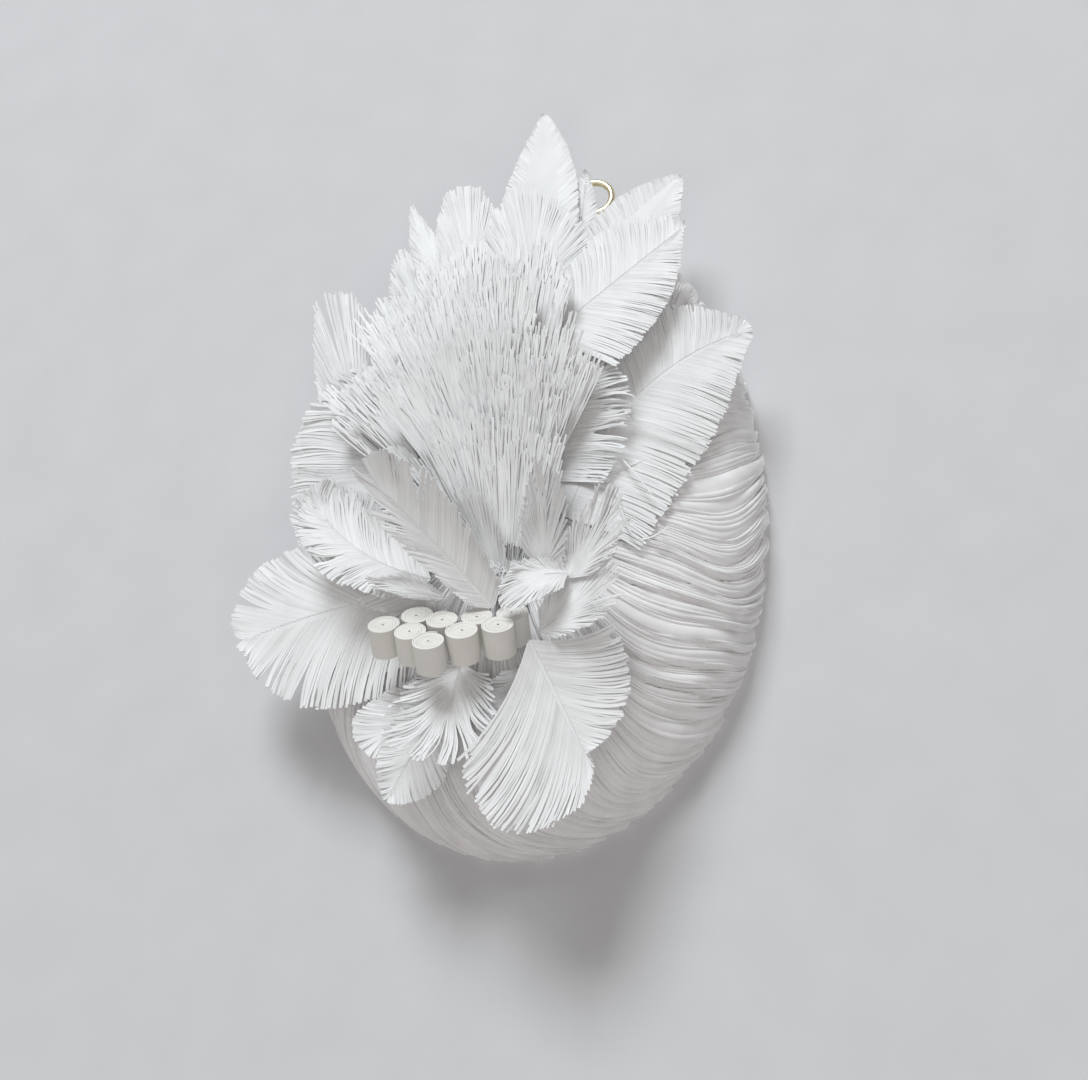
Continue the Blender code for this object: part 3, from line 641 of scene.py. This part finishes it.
def tip_barbs(plume):
    """Return the barbs that fan round the tip, left to right."""
    spots, headings = spine(plume, np.array([1.0]))
    left, right = plume.sides
    angles = np.radians([90 - left.sweep_at_tip, right.sweep_at_tip - 90])
    lengths = np.array([side.longest * MM * OUTLINES[side.outline][2] for side in plume.sides])
    arc = (angles[0] - angles[1]) * lengths.mean()
    count = max(LEAST_TIP_BARBS, round(TIP_CROWDING * arc / (BARB_PITCH * plume.pitch)))
    share = middles(count)
    fan = angles[0] + (angles[1] - angles[0]) * share
    longer = share if lengths[0] < lengths[1] else 1 - share
    reach = lengths.min() + np.ptp(lengths) * longer ** TIP_REACH_POWER
    starts = np.repeat(spots, count, axis=0)
    ends = starts + turned(headings, fan) * reach[:, None]
    return starts, ends, np.ones(count)


def all_barbs(plume):
    """Return every barb of a plume in a row: up its left side, round its tip and down."""
    left = side_barbs(plume, plume.sides[0], 1)
    right = side_barbs(plume, plume.sides[1], -1)
    rows = (left, tip_barbs(plume), tuple(part[::-1] for part in right))
    return (np.concatenate(parts) for parts in zip(*rows))


def crease(path, uncut):
    """Return how high the folded spine lifts the paper at shares of the way out."""
    return SPINE_RIDGE * np.clip(1 - path / uncut, 0, 1)


def bent(lines, length, path, plume, surface):
    """Return lines of barbs bent towards the tip of their plume."""
    bend = (plume.bend * length)[:, None, None] * 4 * path * (1 - path)
    return lines + surface.direction * bend


def web(starts, ends, uncut, plume, surface):
    """Return the sheet that lies under the barbs of a plume, creased along its spine."""
    count = len(starts)
    reach = 1 + WEB_WAVE * soft_noise(count, 3) - WEB_RAGGED * chance.random(count)
    near = np.clip(np.abs(split_push(count, plume.splits)), 0, 1)
    reach = np.maximum(plume.backed * reach * (1 - SPLIT_DEPTH * near ** 0.5), uncut)[:, None]
    middle, vectors = uncut[:, None], ends - starts
    path = np.concatenate([middle * WEB_INNER, middle + (reach - middle) * WEB_OUTER], axis=1)
    plan = starts[:, None] + vectors[:, None] * path[..., None]
    plan = bent(plan, np.linalg.norm(vectors, axis=1), path[..., None], plume, surface)
    height = surface.height(plan) + crease(path, middle) - WEB_DROP
    points = to_world(plan, height).reshape(-1, 3)
    return thick_sheet(points, grid_faces(*path.shape), WEB_PAPER)


def split_push(count, splits):
    """Return how strongly each of a row of barbs is pushed away from splits, -1 to 1."""
    push = np.zeros(count)
    for split in splits:
        away = (middles(count) - split) * count / SPLIT_BARBS
        push += np.where(away < 0, -1, 1) * np.exp(-np.abs(away))
    return push


def barb_lines(starts, ends, uncut, plume, surface):
    """Return plan lines of barbs, their clumps and widths, and how free and far out they are."""
    count = len(starts)
    labels = clumps(count)
    vectors = ends - starts
    length = np.linalg.norm(vectors, axis=1)
    middle = uncut[:, None, None]
    first = (PLAIN_START if plume.plain else BARB_START) * middle
    path = first + (1 - first) * np.linspace(0, 1, BARB_STATIONS)[None, :, None]
    ragged = 1 + BARB_RAGGED * plume.mess * chance.normal(size=count)
    ragged = ragged + BARB_WAVE * soft_noise(count, 6)
    full = starts + vectors * np.clip(ragged, *BARB_REACH)[:, None]
    cut = starts[:, None] + (full - starts)[:, None] * path
    cut = bent(cut, length, path, plume, surface)
    gaps = sidestep(unit(np.gradient(cut, axis=1)), np.gradient(cut, axis=0))
    widths = np.clip(gaps, BARB_LEAST, BARB_MOST * plume.pitch)
    across = unit(left_of(vectors))
    gather = clump_chance(labels, 0.0, CLUMP_GATHER)[:, None] * (clump_means(labels, full) - full)
    aside = clump_chance(labels, -1, 1) * plume.cleft * MM
    stray = soft_noise(count, 4) + chance.normal(size=count)
    aside = aside + BARB_STRAY * plume.mess * length * stray
    apart = -SPLIT_WIDTH * split_push(count, plume.splits)
    drift = gather + across * (aside + apart)[:, None]
    free = np.clip((path - middle) / (1 - middle), 0, 1)
    wave = (BARB_WAVER * plume.mess * length * chance.normal(size=count))[:, None, None]
    bend = across[:, None] * wave * np.sin(2 * np.pi * free + count)
    if plume.swirl:
        swing = (plume.swirl * length * soft_noise(count, SWIRL_WIDTH))[:, None, None]
        bend = bend + across[:, None] * swing * np.sin(2 * SWIRL_TURNS * np.pi * free)
    lines = cut + drift[:, None] * free ** STRAY_POWER + bend * free
    return lines, labels, widths, free[..., 0], path[..., 0]


def barb_heights(lines, labels, free, path, uncut, plume, surface):
    """Return the heights of barbs: on the sheet where uncut, lifted at their end."""
    height = surface.height(lines)
    count = len(lines)
    room = room_over(lines, height, BARB_PROBES)
    lift = clump_chance(labels, 0.0, 1.0) + LIFT_STRAY * np.abs(chance.normal(size=count))
    lift = np.minimum(lift * plume.lift * MM, LIFT_ROOM * room)
    wave = HEIGHT_WAVER * chance.normal(size=(count, 1)) * np.sin(free * 6 + count)
    height = height + crease(path, uncut[:, None])
    if plume.plain:
        rise = (path - path[:, :1]) / (PLAIN_RISE * (1 - path[:, :1]))
        height = height - WEB_DROP * np.clip(1 - rise, 0, 1)
    return height + lift[:, None] * free ** LIFT_POWER + wave * free


def leaned(normals, lines, angles):
    """Return normals that lean over sideways by an angle at each station."""
    along = unit(np.gradient(lines, axis=1))
    sides = unit(np.cross(along, normals))
    angles = angles[..., None]
    return unit(normals * np.cos(angles) + sides * np.sin(angles))


def plume_barbs(starts, ends, uncut, plume, surface):
    """Return the barbs of a plume as thin strips of paper."""
    lines, labels, widths, free, path = barb_lines(starts, ends, uncut, plume, surface)
    height = barb_heights(lines, labels, free, path, uncut, plume, surface)
    centres = to_world(lines, height)
    count = len(starts)
    lean = clump_chance(labels, -BARB_LEAN, BARB_LEAN)
    lean = lean + BARB_LEAN * plume.mess * chance.normal(size=count)
    leans = lean[:, None] * (ROOT_LEAN + (1 - ROOT_LEAN) * free)
    normals = leaned(surface.normal(lines), centres, leans)
    halves = 0.5 * BARB_FILL * widths * chance.uniform(*BARB_WIDTHS, (count, 1))
    return ribbons(centres, normals, halves, BARB_PAPER)


def loose_strip(path):
    """Return a strip that strays along a smooth path of places."""
    places = np.array(path) * MM
    marks = np.linspace(0, 1, len(places))
    degree = min(3, len(places) - 1)
    share = np.linspace(0, 1, LOOSE_STATIONS)
    curves = [np.polyfit(marks, axis, degree) for axis in places.T]
    spots = np.stack([np.polyval(curve, share) for curve in curves], axis=-1)
    centres = to_world(spots[:, :2], spots[:, 2])[None]
    turn = LOOSE_TWIST * share + LOOSE_TURN
    across, up = LOOSE_FACING
    normals = np.stack([np.sin(turn) * across, -np.ones_like(turn), up * np.cos(turn)], axis=-1)
    halves = np.full((1, LOOSE_STATIONS), 0.5 * LOOSE_WIDTH)
    return ribbons(centres, unit(normals)[None], halves, BARB_PAPER)


def add_plume(plume, finish):
    """Add a fringed plume in place of its packed sheet."""
    root, tip = on_body(plume.root), on_body(plume.tip)
    length = float(np.hypot(*(tip - root)))
    surface = Surface(plume.name, root, (tip - root) / length, length)
    starts, ends, places = all_barbs(plume)
    starts = root + (starts - root) * (1 - plume.gather)
    uncut = plume.uncut[0] + (plume.uncut[1] - plume.uncut[0]) * places
    parts = [web(starts, ends, uncut, plume, surface),
             plume_barbs(starts, ends, uncut, plume, surface)]
    parts += [loose_strip(path) for path in LOOSE.get(plume.name, ())]
    points, faces = merged(parts)
    add_piece("fringed_" + plume.name, points, faces, finish, [plume.name])


# Crest

def crest_reach(heading):
    """Return how far the crest's outline lies from its foot at a heading."""
    fall = math.radians(CREST_FALL * (heading - CREST_PEAK_HEADING))
    return CREST_REACH * (0.5 + 0.5 * math.cos(fall))


def tuft_feet(surface):
    """Return places across a tuft, -1 to 1, and where its strips start."""
    across = np.linspace(-1, 1, TUFT_STRIPS)
    side = left_of(surface.direction)
    return across, surface.root + side * across[:, None] * CREST_ROOT_WIDTH


def tuft_lines(surface, scale):
    """Return plan lines of one layer of a tuft's strips, their clumps and widths."""
    across, foot = tuft_feet(surface)
    direction, length = surface.direction, surface.length
    labels = clumps(TUFT_STRIPS, *TUFT_CLUMPS)
    wave = np.cos(TUFT_WAVE_TURN * across + TUFT_WAVE_SHIFT * length)
    cut = 1 - TUFT_ROUNDING * across ** 2 + TUFT_WAVE * wave
    ragged = clump_chance(labels, *TUFT_REACH) * chance.uniform(*TUFT_RAGGED, TUFT_STRIPS)
    turn = np.radians(CREST_SPREAD) * across
    turn = turn + TUFT_GATHER * (clump_means(labels, turn) - turn)
    turn = turn + clump_chance(labels, -TUFT_SPLAY, TUFT_SPLAY)
    turn = turn + TUFT_STRAY * chance.normal(size=TUFT_STRIPS)
    rays = turned(direction, turn) * (length * scale * cut * ragged)[:, None]
    share = np.linspace(TUFT_FOOT, 1, TUFT_STATIONS)[None, :, None]
    sway = (TUFT_SWAY * length * chance.normal(size=TUFT_STRIPS))[:, None, None]
    lines = foot[:, None] + rays[:, None] * share
    lines = lines + left_of(direction) * sway * 4 * share * (1 - share)
    spread = length * math.radians(CREST_SPREAD) * share[..., 0]
    return lines, labels, 2 / TUFT_STRIPS * (CREST_ROOT_WIDTH + spread)


def tuft_layer(surface, scale, level):
    """Return one layer of a tuft as thin strips."""
    lines, labels, widths = tuft_lines(surface, scale)
    over = surface.ahead(lines)
    height = surface.height(over)
    count = len(lines)
    room = room_over(lines, height, TUFT_PROBES)
    lift = clump_chance(labels, 0.0, TUFT_LIFT)
    lift = lift + TUFT_LIFT_STRAY * np.abs(chance.normal(size=count))
    lift = np.minimum(lift * MM, TUFT_LIFT_ROOM * room)[:, None]
    start = level * LAYER_STEP + chance.uniform(0, LAYER_STRAY, count)
    start = np.minimum(start, LAYER_ROOM * room)[:, None]
    height = height + start + lift * np.linspace(0, 1, TUFT_STATIONS) ** TUFT_LIFT_POWER
    centres = to_world(lines, height)
    lean = clump_chance(labels, -BARB_LEAN, BARB_LEAN)
    lean = lean + TUFT_LEAN_STRAY * chance.normal(size=count)
    normals = leaned(surface.normal(over), centres, lean[:, None])
    halves = 0.5 * widths * chance.uniform(*TUFT_WIDTHS, (count, 1))
    halves = np.clip(halves, 0.5 * BARB_LEAST, 0.5 * BARB_MOST)
    return ribbons(centres, normals, halves, BARB_PAPER)


def tuft_sheet(surface):
    """Return the sheet that lies under a tuft's strips."""
    across, foot = tuft_feet(surface)
    ragged = TUFT_BACK_RAGGED * chance.random(TUFT_STRIPS)
    reach = surface.length * TUFT_BACKED * (1 - TUFT_ROUNDING * across ** 2 - ragged)
    rays = turned(surface.direction, np.radians(CREST_SPREAD) * across) * reach[:, None]
    share = TUFT_FOOT + (1 - TUFT_FOOT) * np.linspace(0, 1, TUFT_STATIONS)
    plan = foot[:, None] + rays[:, None] * share[None, :, None]
    height = surface.height(surface.ahead(plan)) - WEB_DROP
    faces = grid_faces(TUFT_STRIPS, TUFT_STATIONS, flipped=True)
    return thick_sheet(to_world(plan, height).reshape(-1, 3), faces, WEB_PAPER)


def add_crest(finish):
    """Add every tuft of the crest."""
    number = 0
    for count, reach, first, last, length in CREST_ROWS:
        for heading in np.linspace(first, last, count):
            number += 1
            node = f"crest_tuft_{number:02d}"
            angle = math.radians(heading)
            direction = np.array([math.cos(angle), math.sin(angle)])
            back = reach * crest_reach(heading) - length * MM
            root = on_body(CREST_FOOT) + direction * back
            surface = Surface(node, root, direction, length * MM)
            layers = [tuft_sheet(surface)]
            for level, scale in enumerate(TUFT_LAYERS):
                layers.append(tuft_layer(surface, scale, level))
            points, faces = merged(layers)
            add_piece(f"fringed_{node}", points, faces, finish, [node])


# Body

def face_height(share):
    """Return the height of the rounded face at a share of the way to the outline."""
    inside = np.clip(1 - np.clip(share, 0, 1) ** BODY_PLAN_POWER, 0, 1)
    return BODY_BASE + BODY_DEPTH * inside ** (1 / BODY_FACE_POWER)


def strip_columns():
    """Return the angle, relief and strip number of each column of the skin."""
    edges = np.cumsum(np.concatenate([[0], chance.lognormal(0, STRIP_UNEVEN, STRIPS)]))
    edges = edges / edges[-1] * 2 * np.pi
    parts, relief = np.array(STRIP_PROFILE).T
    angles = edges[:-1, None] + np.diff(edges)[:, None] * parts
    return angles.ravel(), np.tile(relief, STRIPS), np.repeat(np.arange(STRIPS), len(parts))


def fold_relief(angle, turn, edges, steps, phases):
    """Return the height of the overlapping folds: each drops fast at its clockwise edge."""
    place = np.mod(angle / (2 * np.pi), 1) * FOLDS
    index = np.floor(place).astype(int) % FOLDS
    inside = 1 - (place - np.floor(place))
    widths = edges[index]
    saw = np.where(inside < widths, inside / widths, (1 - inside) / (1 - widths))
    swing = 1 - FOLD_SWING + FOLD_SWING * np.sin(FOLD_SWING_TURN * turn + phases[index])
    return FOLD_STEP * steps[index] * swing * (saw - 0.5)


def strip_relief(turn, strips, phases):
    """Return how far each strip stands out along its length."""
    slow, fast = STRIP_WAVES
    phases = phases[strips]
    return STRIP_STEP * (np.sin(slow * turn + phases) + np.sin(fast * turn + 3 * phases))


def face_profile():
    """Return the share of each ring and how far it is from the rim along the face."""
    turns = 0.5 * np.pi * np.arange(STRIP_RINGS) / STRIP_RINGS
    shares = np.cos(turns) ** (2 / BODY_PLAN_POWER)
    steps = np.hypot(np.diff(shares) * BODY_MEAN_RADIUS, np.diff(face_height(shares)))
    return shares, np.concatenate([[0], np.cumsum(steps)])


def slanted(angles, inward):
    """Return where strips that end at angles on the rim lie, some way in from it."""
    away = np.mod(angles - math.radians(SLANT_ANGLE) + np.pi, 2 * np.pi) - np.pi
    slant = SLANT_LEAST + SLANT_MORE * np.exp(-(away / math.radians(SLANT_SPREAD)) ** 2)
    aside = slant * SLANT_DEPTH * (1 - math.exp(-inward / SLANT_DEPTH))
    return angles - aside / BODY_MEAN_RADIUS


def body_rings():
    """Return the rings of the body's skin from the rim to the middle of its face."""
    angles, grooves, strips = strip_columns()
    phases = chance.uniform(0, 2 * np.pi, STRIPS)
    ragged = chance.uniform(*RIM_RAGGED, STRIPS) + RIM_WAVE * soft_noise(STRIPS, 3)
    ragged = ragged[strips] * STRIP_RAGGED
    bends = 2 * np.pi * chance.uniform(0, 1, 3)
    edges = chance.uniform(*FOLD_CRESTS, FOLDS)
    steps = chance.uniform(*FOLD_SIZES, FOLDS) ** FOLD_SIZE_POWER
    fold_phases = chance.uniform(0, 2 * np.pi, FOLDS)
    rate, start = FOLD_WANDER_TURN
    rings = []
    for ring, (share, inward) in enumerate(zip(*face_profile())):
        turn = 0.5 * np.pi * ring / STRIP_RINGS
        waver = sum(np.sin(around * angles + inwards * turn + bend)
                    for (around, inwards), bend in zip(FOLD_WAVES, bends))
        angle = slanted(angles, inward) + FOLD_WANDER * waver * math.sin(rate * turn + start)
        folds = fold_relief(angles + 0.5 * FOLD_WANDER * waver * math.cos(3 * turn), turn,
                            edges, steps, fold_phases)
        out = folds + grooves + strip_relief(turn, strips, phases)
        half_height = np.where(np.sin(angle) >= 0, BODY_ABOVE, BODY_BELOW)
        proud = np.minimum(ragged + RIM_PROUD * out, RIM_OVERHANG)
        rim = share * (1 + proud * math.cos(turn) ** RIM_FADE / BODY_HALF_WIDTH)
        across = BODY_CENTRE + BODY_HALF_WIDTH * np.cos(angle) * rim
        up = half_height * np.sin(angle) * rim
        fade = min(1.0, 3 * share) * math.sin(turn) ** FOLD_RIM_POWER
        height = np.maximum(face_height(share) + out * fade, BODY_BASE)
        rings.append(np.stack([across, -height, up], axis=-1))
    middle = np.array([BODY_CENTRE, 0, 0])
    return [middle + (rings[0] - middle) * [RIM_UNDER, 1, RIM_UNDER]] + rings


def add_body(finish):
    """Add the body's skin: strips that run from the middle of the face to the rim."""
    rings = body_rings()
    ends = [[[BODY_CENTRE, -face_height(0.0), 0.0]], [[BODY_CENTRE, -BODY_BASE, 0.0]]]
    points = np.concatenate(rings + ends)
    index = np.arange(len(points) - 2).reshape(len(rings), -1)
    after = np.roll(index, -1, axis=1)
    faces = np.stack([after[:-1], index[:-1], index[1:], after[1:]], axis=-1)
    faces = faces.reshape(-1, 4).tolist()
    top, back = len(points) - 2, len(points) - 1
    for edges in np.stack([after[-1], index[-1], index[0], after[0]], axis=1).tolist():
        faces += [(*edges[:2], top), (*edges[2:], back)]
    add_piece("stripped_body", points, faces, finish, ["pleated_body"], smooth=80)


# Coils

def spiral():
    """Return the plan of a coil's paper from the outside in, and the turns made so far."""
    turns = (ROLL_RADIUS - 0.5 * TURN_PAPER - TURN_CORE) / TURN_PITCH
    wound = np.linspace(0, turns, int(turns * TURN_STEPS) + 1)
    wobble = 1 + TURN_WOBBLE * np.sin(TURN_WOBBLE_RATE * wound + TURN_WOBBLE_START)
    radius = ROLL_RADIUS - 0.5 * TURN_PAPER - TURN_PITCH * wound
    radius = np.where(wound < 1, radius, radius * wobble)
    angle = 2 * np.pi * wound
    return np.stack([radius * np.cos(angle), radius * np.sin(angle)], axis=1), wound


def roll_points(turn, drops):
    """Return the points and faces of one coil standing on its lower end."""
    plan, wound = spiral()
    plan = turned(plan, np.full(len(plan), turn))
    ahead = unit(np.gradient(plan, axis=0))
    side = -left_of(ahead) * TURN_PAPER / 2
    drop = np.interp(wound, np.arange(len(drops)), drops)
    low, high = TURN_DROP_BELOW * drop, ROLL_LENGTH - drop
    rings = []
    for offset, height in ((side, low), (side, high), (-side, high), (-side, low)):
        rings.append(np.column_stack([plan + offset, height]))
    points = np.stack(rings, axis=1)
    index = np.arange(len(points) * 4).reshape(-1, 4)
    after = np.roll(index, -1, axis=1)
    sides = np.stack([index[:-1], after[:-1], after[1:], index[1:]], axis=-1)
    faces = [index[:1, ::-1], index[-1:], sides.swapaxes(0, 1).reshape(-1, 4)]
    return points.reshape(-1, 3), np.concatenate(faces).tolist()


def add_rolls(finish):
    """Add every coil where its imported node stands, along the same axis."""
    lean = Euler((math.radians(90 - ROLL_LEAN), math.radians(ROLL_SIDE_LEAN), 0)).to_matrix()
    axes = np.array(lean)
    for number in range(1, ROLL_COUNT + 1):
        node = f"paper_roll_{number:02d}"
        points = node_points(node)
        local = to_world(points[:, :2], points[:, 2]) @ axes
        middle = (local.min(axis=0) + local.max(axis=0)) / 2
        middle[2] = local[:, 2].min()
        drops = chance.uniform(0, TURN_DROP, TURN_DROPS)
        drops[0] = 0
        coil, faces = roll_points(chance.uniform(0, 2 * np.pi), drops)
        add_piece(f"coiled_{node}", (coil + middle) @ axes.T, faces, finish,
                  [node])


# Eye

def add_eye(finish):
    """Add the brass eye: a round wire ring on a straight shank."""
    steps, sides = 96, 24
    around = 2 * np.pi * np.arange(steps) / steps
    wire = 2 * np.pi * np.arange(sides) / sides
    radius = EYE_RADIUS + EYE_WIRE * np.cos(wire)
    across = EYE_CENTRE[0] + np.outer(np.cos(around), radius)
    up = EYE_CENTRE[1] + np.outer(np.sin(around), radius)
    out = EYE_CENTRE[2] + np.tile(EYE_WIRE * np.sin(wire), (steps, 1))
    ring = np.stack([across, -out, up], axis=-1).reshape(-1, 3)
    index = np.arange(steps * sides).reshape(steps, sides).tolist()
    faces = []
    for near, far in zip(index, index[1:] + index[:1]):
        faces += band(near, far)
    top = EYE_CENTRE[1] - EYE_RADIUS
    rows = []
    for level in (SHANK_FOOT, top):
        rows.append(np.stack([EYE_WIRE * np.cos(wire), -EYE_CENTRE[2] + EYE_WIRE * np.sin(wire),
                              np.full(sides, level)], axis=1))
    foot, head = index[:2]
    shank = band(foot, head) + [foot[::-1], head]
    points, faces = merged([(ring, faces), (np.concatenate(rows), shank)])
    add_piece("brass_eye", points, faces, finish, ["hanging_eye"], smooth=50)


# Materials

SHADER = "Principled BSDF"
GLOSS = "Specular IOR Level"
MIX_COLOURS = (6, 7)
MIX_RESULT = 2


def grey(value):
    """Return a colour of equal channels."""
    return (value, value, value)


# Papers: colour, shade of its mottling, and how much darker a strip can be
PAPERS = {
    "plume_paper_look": (grey(0.84), grey(0.79), 0.12),
    "body_paper_look": ((0.84, 0.83, 0.83), (0.77, 0.76, 0.76), 0.0),
    # Coil paper: a cream tone of its own, and darker than the other papers as painted shade,
    # standing in for the shade the petal casts over the coils
    "roll_paper_and_painted_shade_look": ((0.78, 0.76, 0.72), (0.72, 0.70, 0.66), 0.04),
    "card_look": ((0.78, 0.77, 0.75), (0.70, 0.69, 0.66), 0.0),
}


def link(tree, source, output, target, socket):
    """Join two nodes."""
    tree.links.new(source.outputs[output], target.inputs[socket])


def noise(tree, scale, detail=3.0, stretch=(1, 1, 1)):
    """Return a noise node over the object's own metres."""
    place = tree.nodes.new("ShaderNodeTexCoord")
    mapping = tree.nodes.new("ShaderNodeMapping")
    mapping.inputs["Scale"].default_value = stretch
    grain = tree.nodes.new("ShaderNodeTexNoise")
    grain.inputs["Scale"].default_value = scale
    grain.inputs["Detail"].default_value = detail
    link(tree, place, "Object", mapping, "Vector")
    link(tree, mapping, "Vector", grain, "Vector")
    return grain


def ramp(tree, low, high, start=0.3, end=0.7):
    """Return a colour ramp between two colours."""
    node = tree.nodes.new("ShaderNodeValToRGB")
    ends = node.color_ramp.elements
    ends[0].position, ends[1].position = start, end
    ends[0].color, ends[1].color = (*low, 1), (*high, 1)
    return node


def mottle(tree, scale, low, high):
    """Return a ramp that noise of a scale runs along between two colours."""
    tone = ramp(tree, low, high)
    link(tree, noise(tree, scale), "Fac", tone, "Fac")
    return tone


def emboss(tree, scale, detail, strength, depth, stretch=(1, 1, 1)):
    """Roughen the shader's surface with fine noise."""
    bump = tree.nodes.new("ShaderNodeBump")
    bump.inputs["Strength"].default_value = strength
    bump.inputs["Distance"].default_value = depth
    link(tree, noise(tree, scale, detail, stretch), "Fac", bump, "Height")
    link(tree, bump, "Normal", tree.nodes[SHADER], "Normal")


def new_finish(name, values):
    """Return a new material, its nodes and its shader, with values for its sockets."""
    finish = bpy.data.materials.new(name)
    finish.use_nodes = True
    shader = finish.node_tree.nodes[SHADER]
    for socket, value in values.items():
        shader.inputs[socket].default_value = value
    return finish, finish.node_tree, shader


def choose(tree, source, output, first, second, target):
    """Show one shader or another, as a node's output says."""
    pick = tree.nodes.new("ShaderNodeMixShader")
    link(tree, source, output, pick, 0)
    link(tree, first, 0, pick, 1)
    link(tree, second, 0, pick, 2)
    link(tree, pick, 0, tree.nodes[target], "Surface")


def paper(name, colour, shade, spread):
    """Return matt paper: mottled, grained, each cut strip slightly its own tone."""
    finish, tree, shader = new_finish(name, {GLOSS: 0.25})
    tone = mottle(tree, 160.0, shade, colour)
    island = tree.nodes.new("ShaderNodeNewGeometry")
    strip = ramp(tree, grey(1 - spread), grey(1), 0.0, 1.0)
    link(tree, island, "Random Per Island", strip, "Fac")
    mix = tree.nodes.new("ShaderNodeMix")
    mix.data_type = "RGBA"
    mix.blend_type = "MULTIPLY"
    mix.inputs["Factor"].default_value = 1.0
    for source, socket in zip((tone, strip), MIX_COLOURS):
        link(tree, source, "Color", mix, socket)
    link(tree, mix, MIX_RESULT, shader, "Base Color")
    link(tree, mottle(tree, 900.0, grey(0.68), grey(0.86)), "Color", shader, "Roughness")
    emboss(tree, scale=3200.0, detail=5.0, strength=0.35, depth=0.00008)
    return finish


def brass():
    """Return worn pale brass with a fine brushed grain."""
    finish, tree, shader = new_finish("pale_brass", {"Metallic": 1.0})
    tone = mottle(tree, 260.0, (0.72, 0.62, 0.40), (0.83, 0.75, 0.53))
    link(tree, tone, "Color", shader, "Base Color")
    link(tree, mottle(tree, 1500.0, grey(0.18), grey(0.38)), "Color", shader, "Roughness")
    emboss(tree, scale=2500.0, detail=4.0, strength=0.15, depth=0.00003, stretch=(1, 1, 6))
    return finish


# Stage

WALL_REACH = 3
WALL_GAP = 0.0004
WORLD_STRENGTH = 0.34
WARM = (1.0, 0.97, 0.95)
COOL = (0.91, 0.965, 1.0)
FACE = (0, -0.03, 0.02)

# Lamps: place, aim, side in metres, power in watts, and colour
LAMPS = {
    "key": ((-0.45, -1.95, 1.4), FACE, 0.9, 46.5, COOL),
    "fill": ((0.45, -1.8, -1.05), FACE, 1.5, 10.0, WARM),
    "back": ((0.1, 1.8, 0.9), (0, 0, 0.02), 1.2, 26.0, grey(1.0)),
}


def add_wall():
    """Add the plain pale wall that the object hangs on, seen from its front only."""
    mesh = bpy.data.meshes.new("wall")
    corners = [(-1, -1), (1, -1), (1, 1), (-1, 1)]
    mesh.from_pydata([(across * WALL_REACH, WALL_GAP, up * WALL_REACH) for across, up in corners],
                     [], [(0, 1, 2, 3)])
    finish, tree, shader = new_finish("wall_paint", {"Roughness": 0.9, GLOSS: 0.1})
    tone = mottle(tree, 60.0, (0.55, 0.55, 0.56), (0.57, 0.57, 0.58))
    link(tree, tone, "Color", shader, "Base Color")
    clear = tree.nodes.new("ShaderNodeBsdfTransparent")
    side = tree.nodes.new("ShaderNodeNewGeometry")
    choose(tree, side, "Backfacing", shader, clear, "Material Output")
    mesh.materials.append(finish)
    wall = new_object("wall", mesh)
    wall.visible_shadow = False


def add_area(name, place, aim, size, power, colour):
    """Add a soft square light that points at a spot."""
    light = bpy.data.lights.new(name, "AREA")
    light.size = size
    light.energy = power
    light.color = colour
    lamp = new_object(name, light)
    lamp.location = place
    lamp.rotation_euler = (Vector(aim) - Vector(place)).to_track_quat("-Z", "Y").to_euler()


def add_world():
    """Fill from all round, white where the camera looks past the wall."""
    world = bpy.data.worlds.new("studio")
    bpy.context.scene.world = world
    world.use_nodes = True
    tree = world.node_tree
    fill = tree.nodes["Background"]
    fill.inputs["Color"].default_value = (*WARM, 1)
    fill.inputs["Strength"].default_value = WORLD_STRENGTH
    white = tree.nodes.new("ShaderNodeBackground")
    white.inputs["Color"].default_value = (1, 1, 1, 1)
    path = tree.nodes.new("ShaderNodeLightPath")
    choose(tree, path, "Is Camera Ray", fill, white, "World Output")


def add_camera():
    """Hold the camera where the photo was taken from, below right, tilted."""
    azimuth, elevation, roll = map(math.radians, CAMERA_TURNS)
    back = Vector((math.sin(azimuth) * math.cos(elevation),
                   -math.cos(azimuth) * math.cos(elevation), math.sin(elevation)))
    level = (-back).cross(Vector((0, 0, 1))).normalized()
    upright = level.cross(-back)
    right = level * math.cos(roll) + upright * math.sin(roll)
    top = upright * math.cos(roll) - level * math.sin(roll)
    data = bpy.data.cameras.new("camera")
    data.sensor_width = SENSOR
    data.lens = PHOTO_FOCUS / PHOTO_WIDTH * SENSOR
    camera = new_object("camera", data)
    matrix = Matrix((right, top, back)).transposed().to_4x4()
    matrix.translation = CAMERA_PLACE
    camera.matrix_world = matrix
    bpy.context.scene.camera = camera


def main():
    """Build the looks round the frame."""
    bpy.context.scene.view_settings.view_transform = "Standard"
    papers = {name: paper(name, *look) for name, look in PAPERS.items()}
    add_camera()
    add_wall()
    add_world()
    for name, lamp in LAMPS.items():
        add_area(name, *lamp)
    add_body(papers["body_paper_look"])
    for plume in PLUMES:
        add_plume(plume, papers["plume_paper_look"])
    add_crest(papers["plume_paper_look"])
    add_rolls(papers["roll_paper_and_painted_shade_look"])
    add_eye(brass())
    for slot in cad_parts["backing_card"].material_slots:
        slot.material = papers["card_look"]


main()
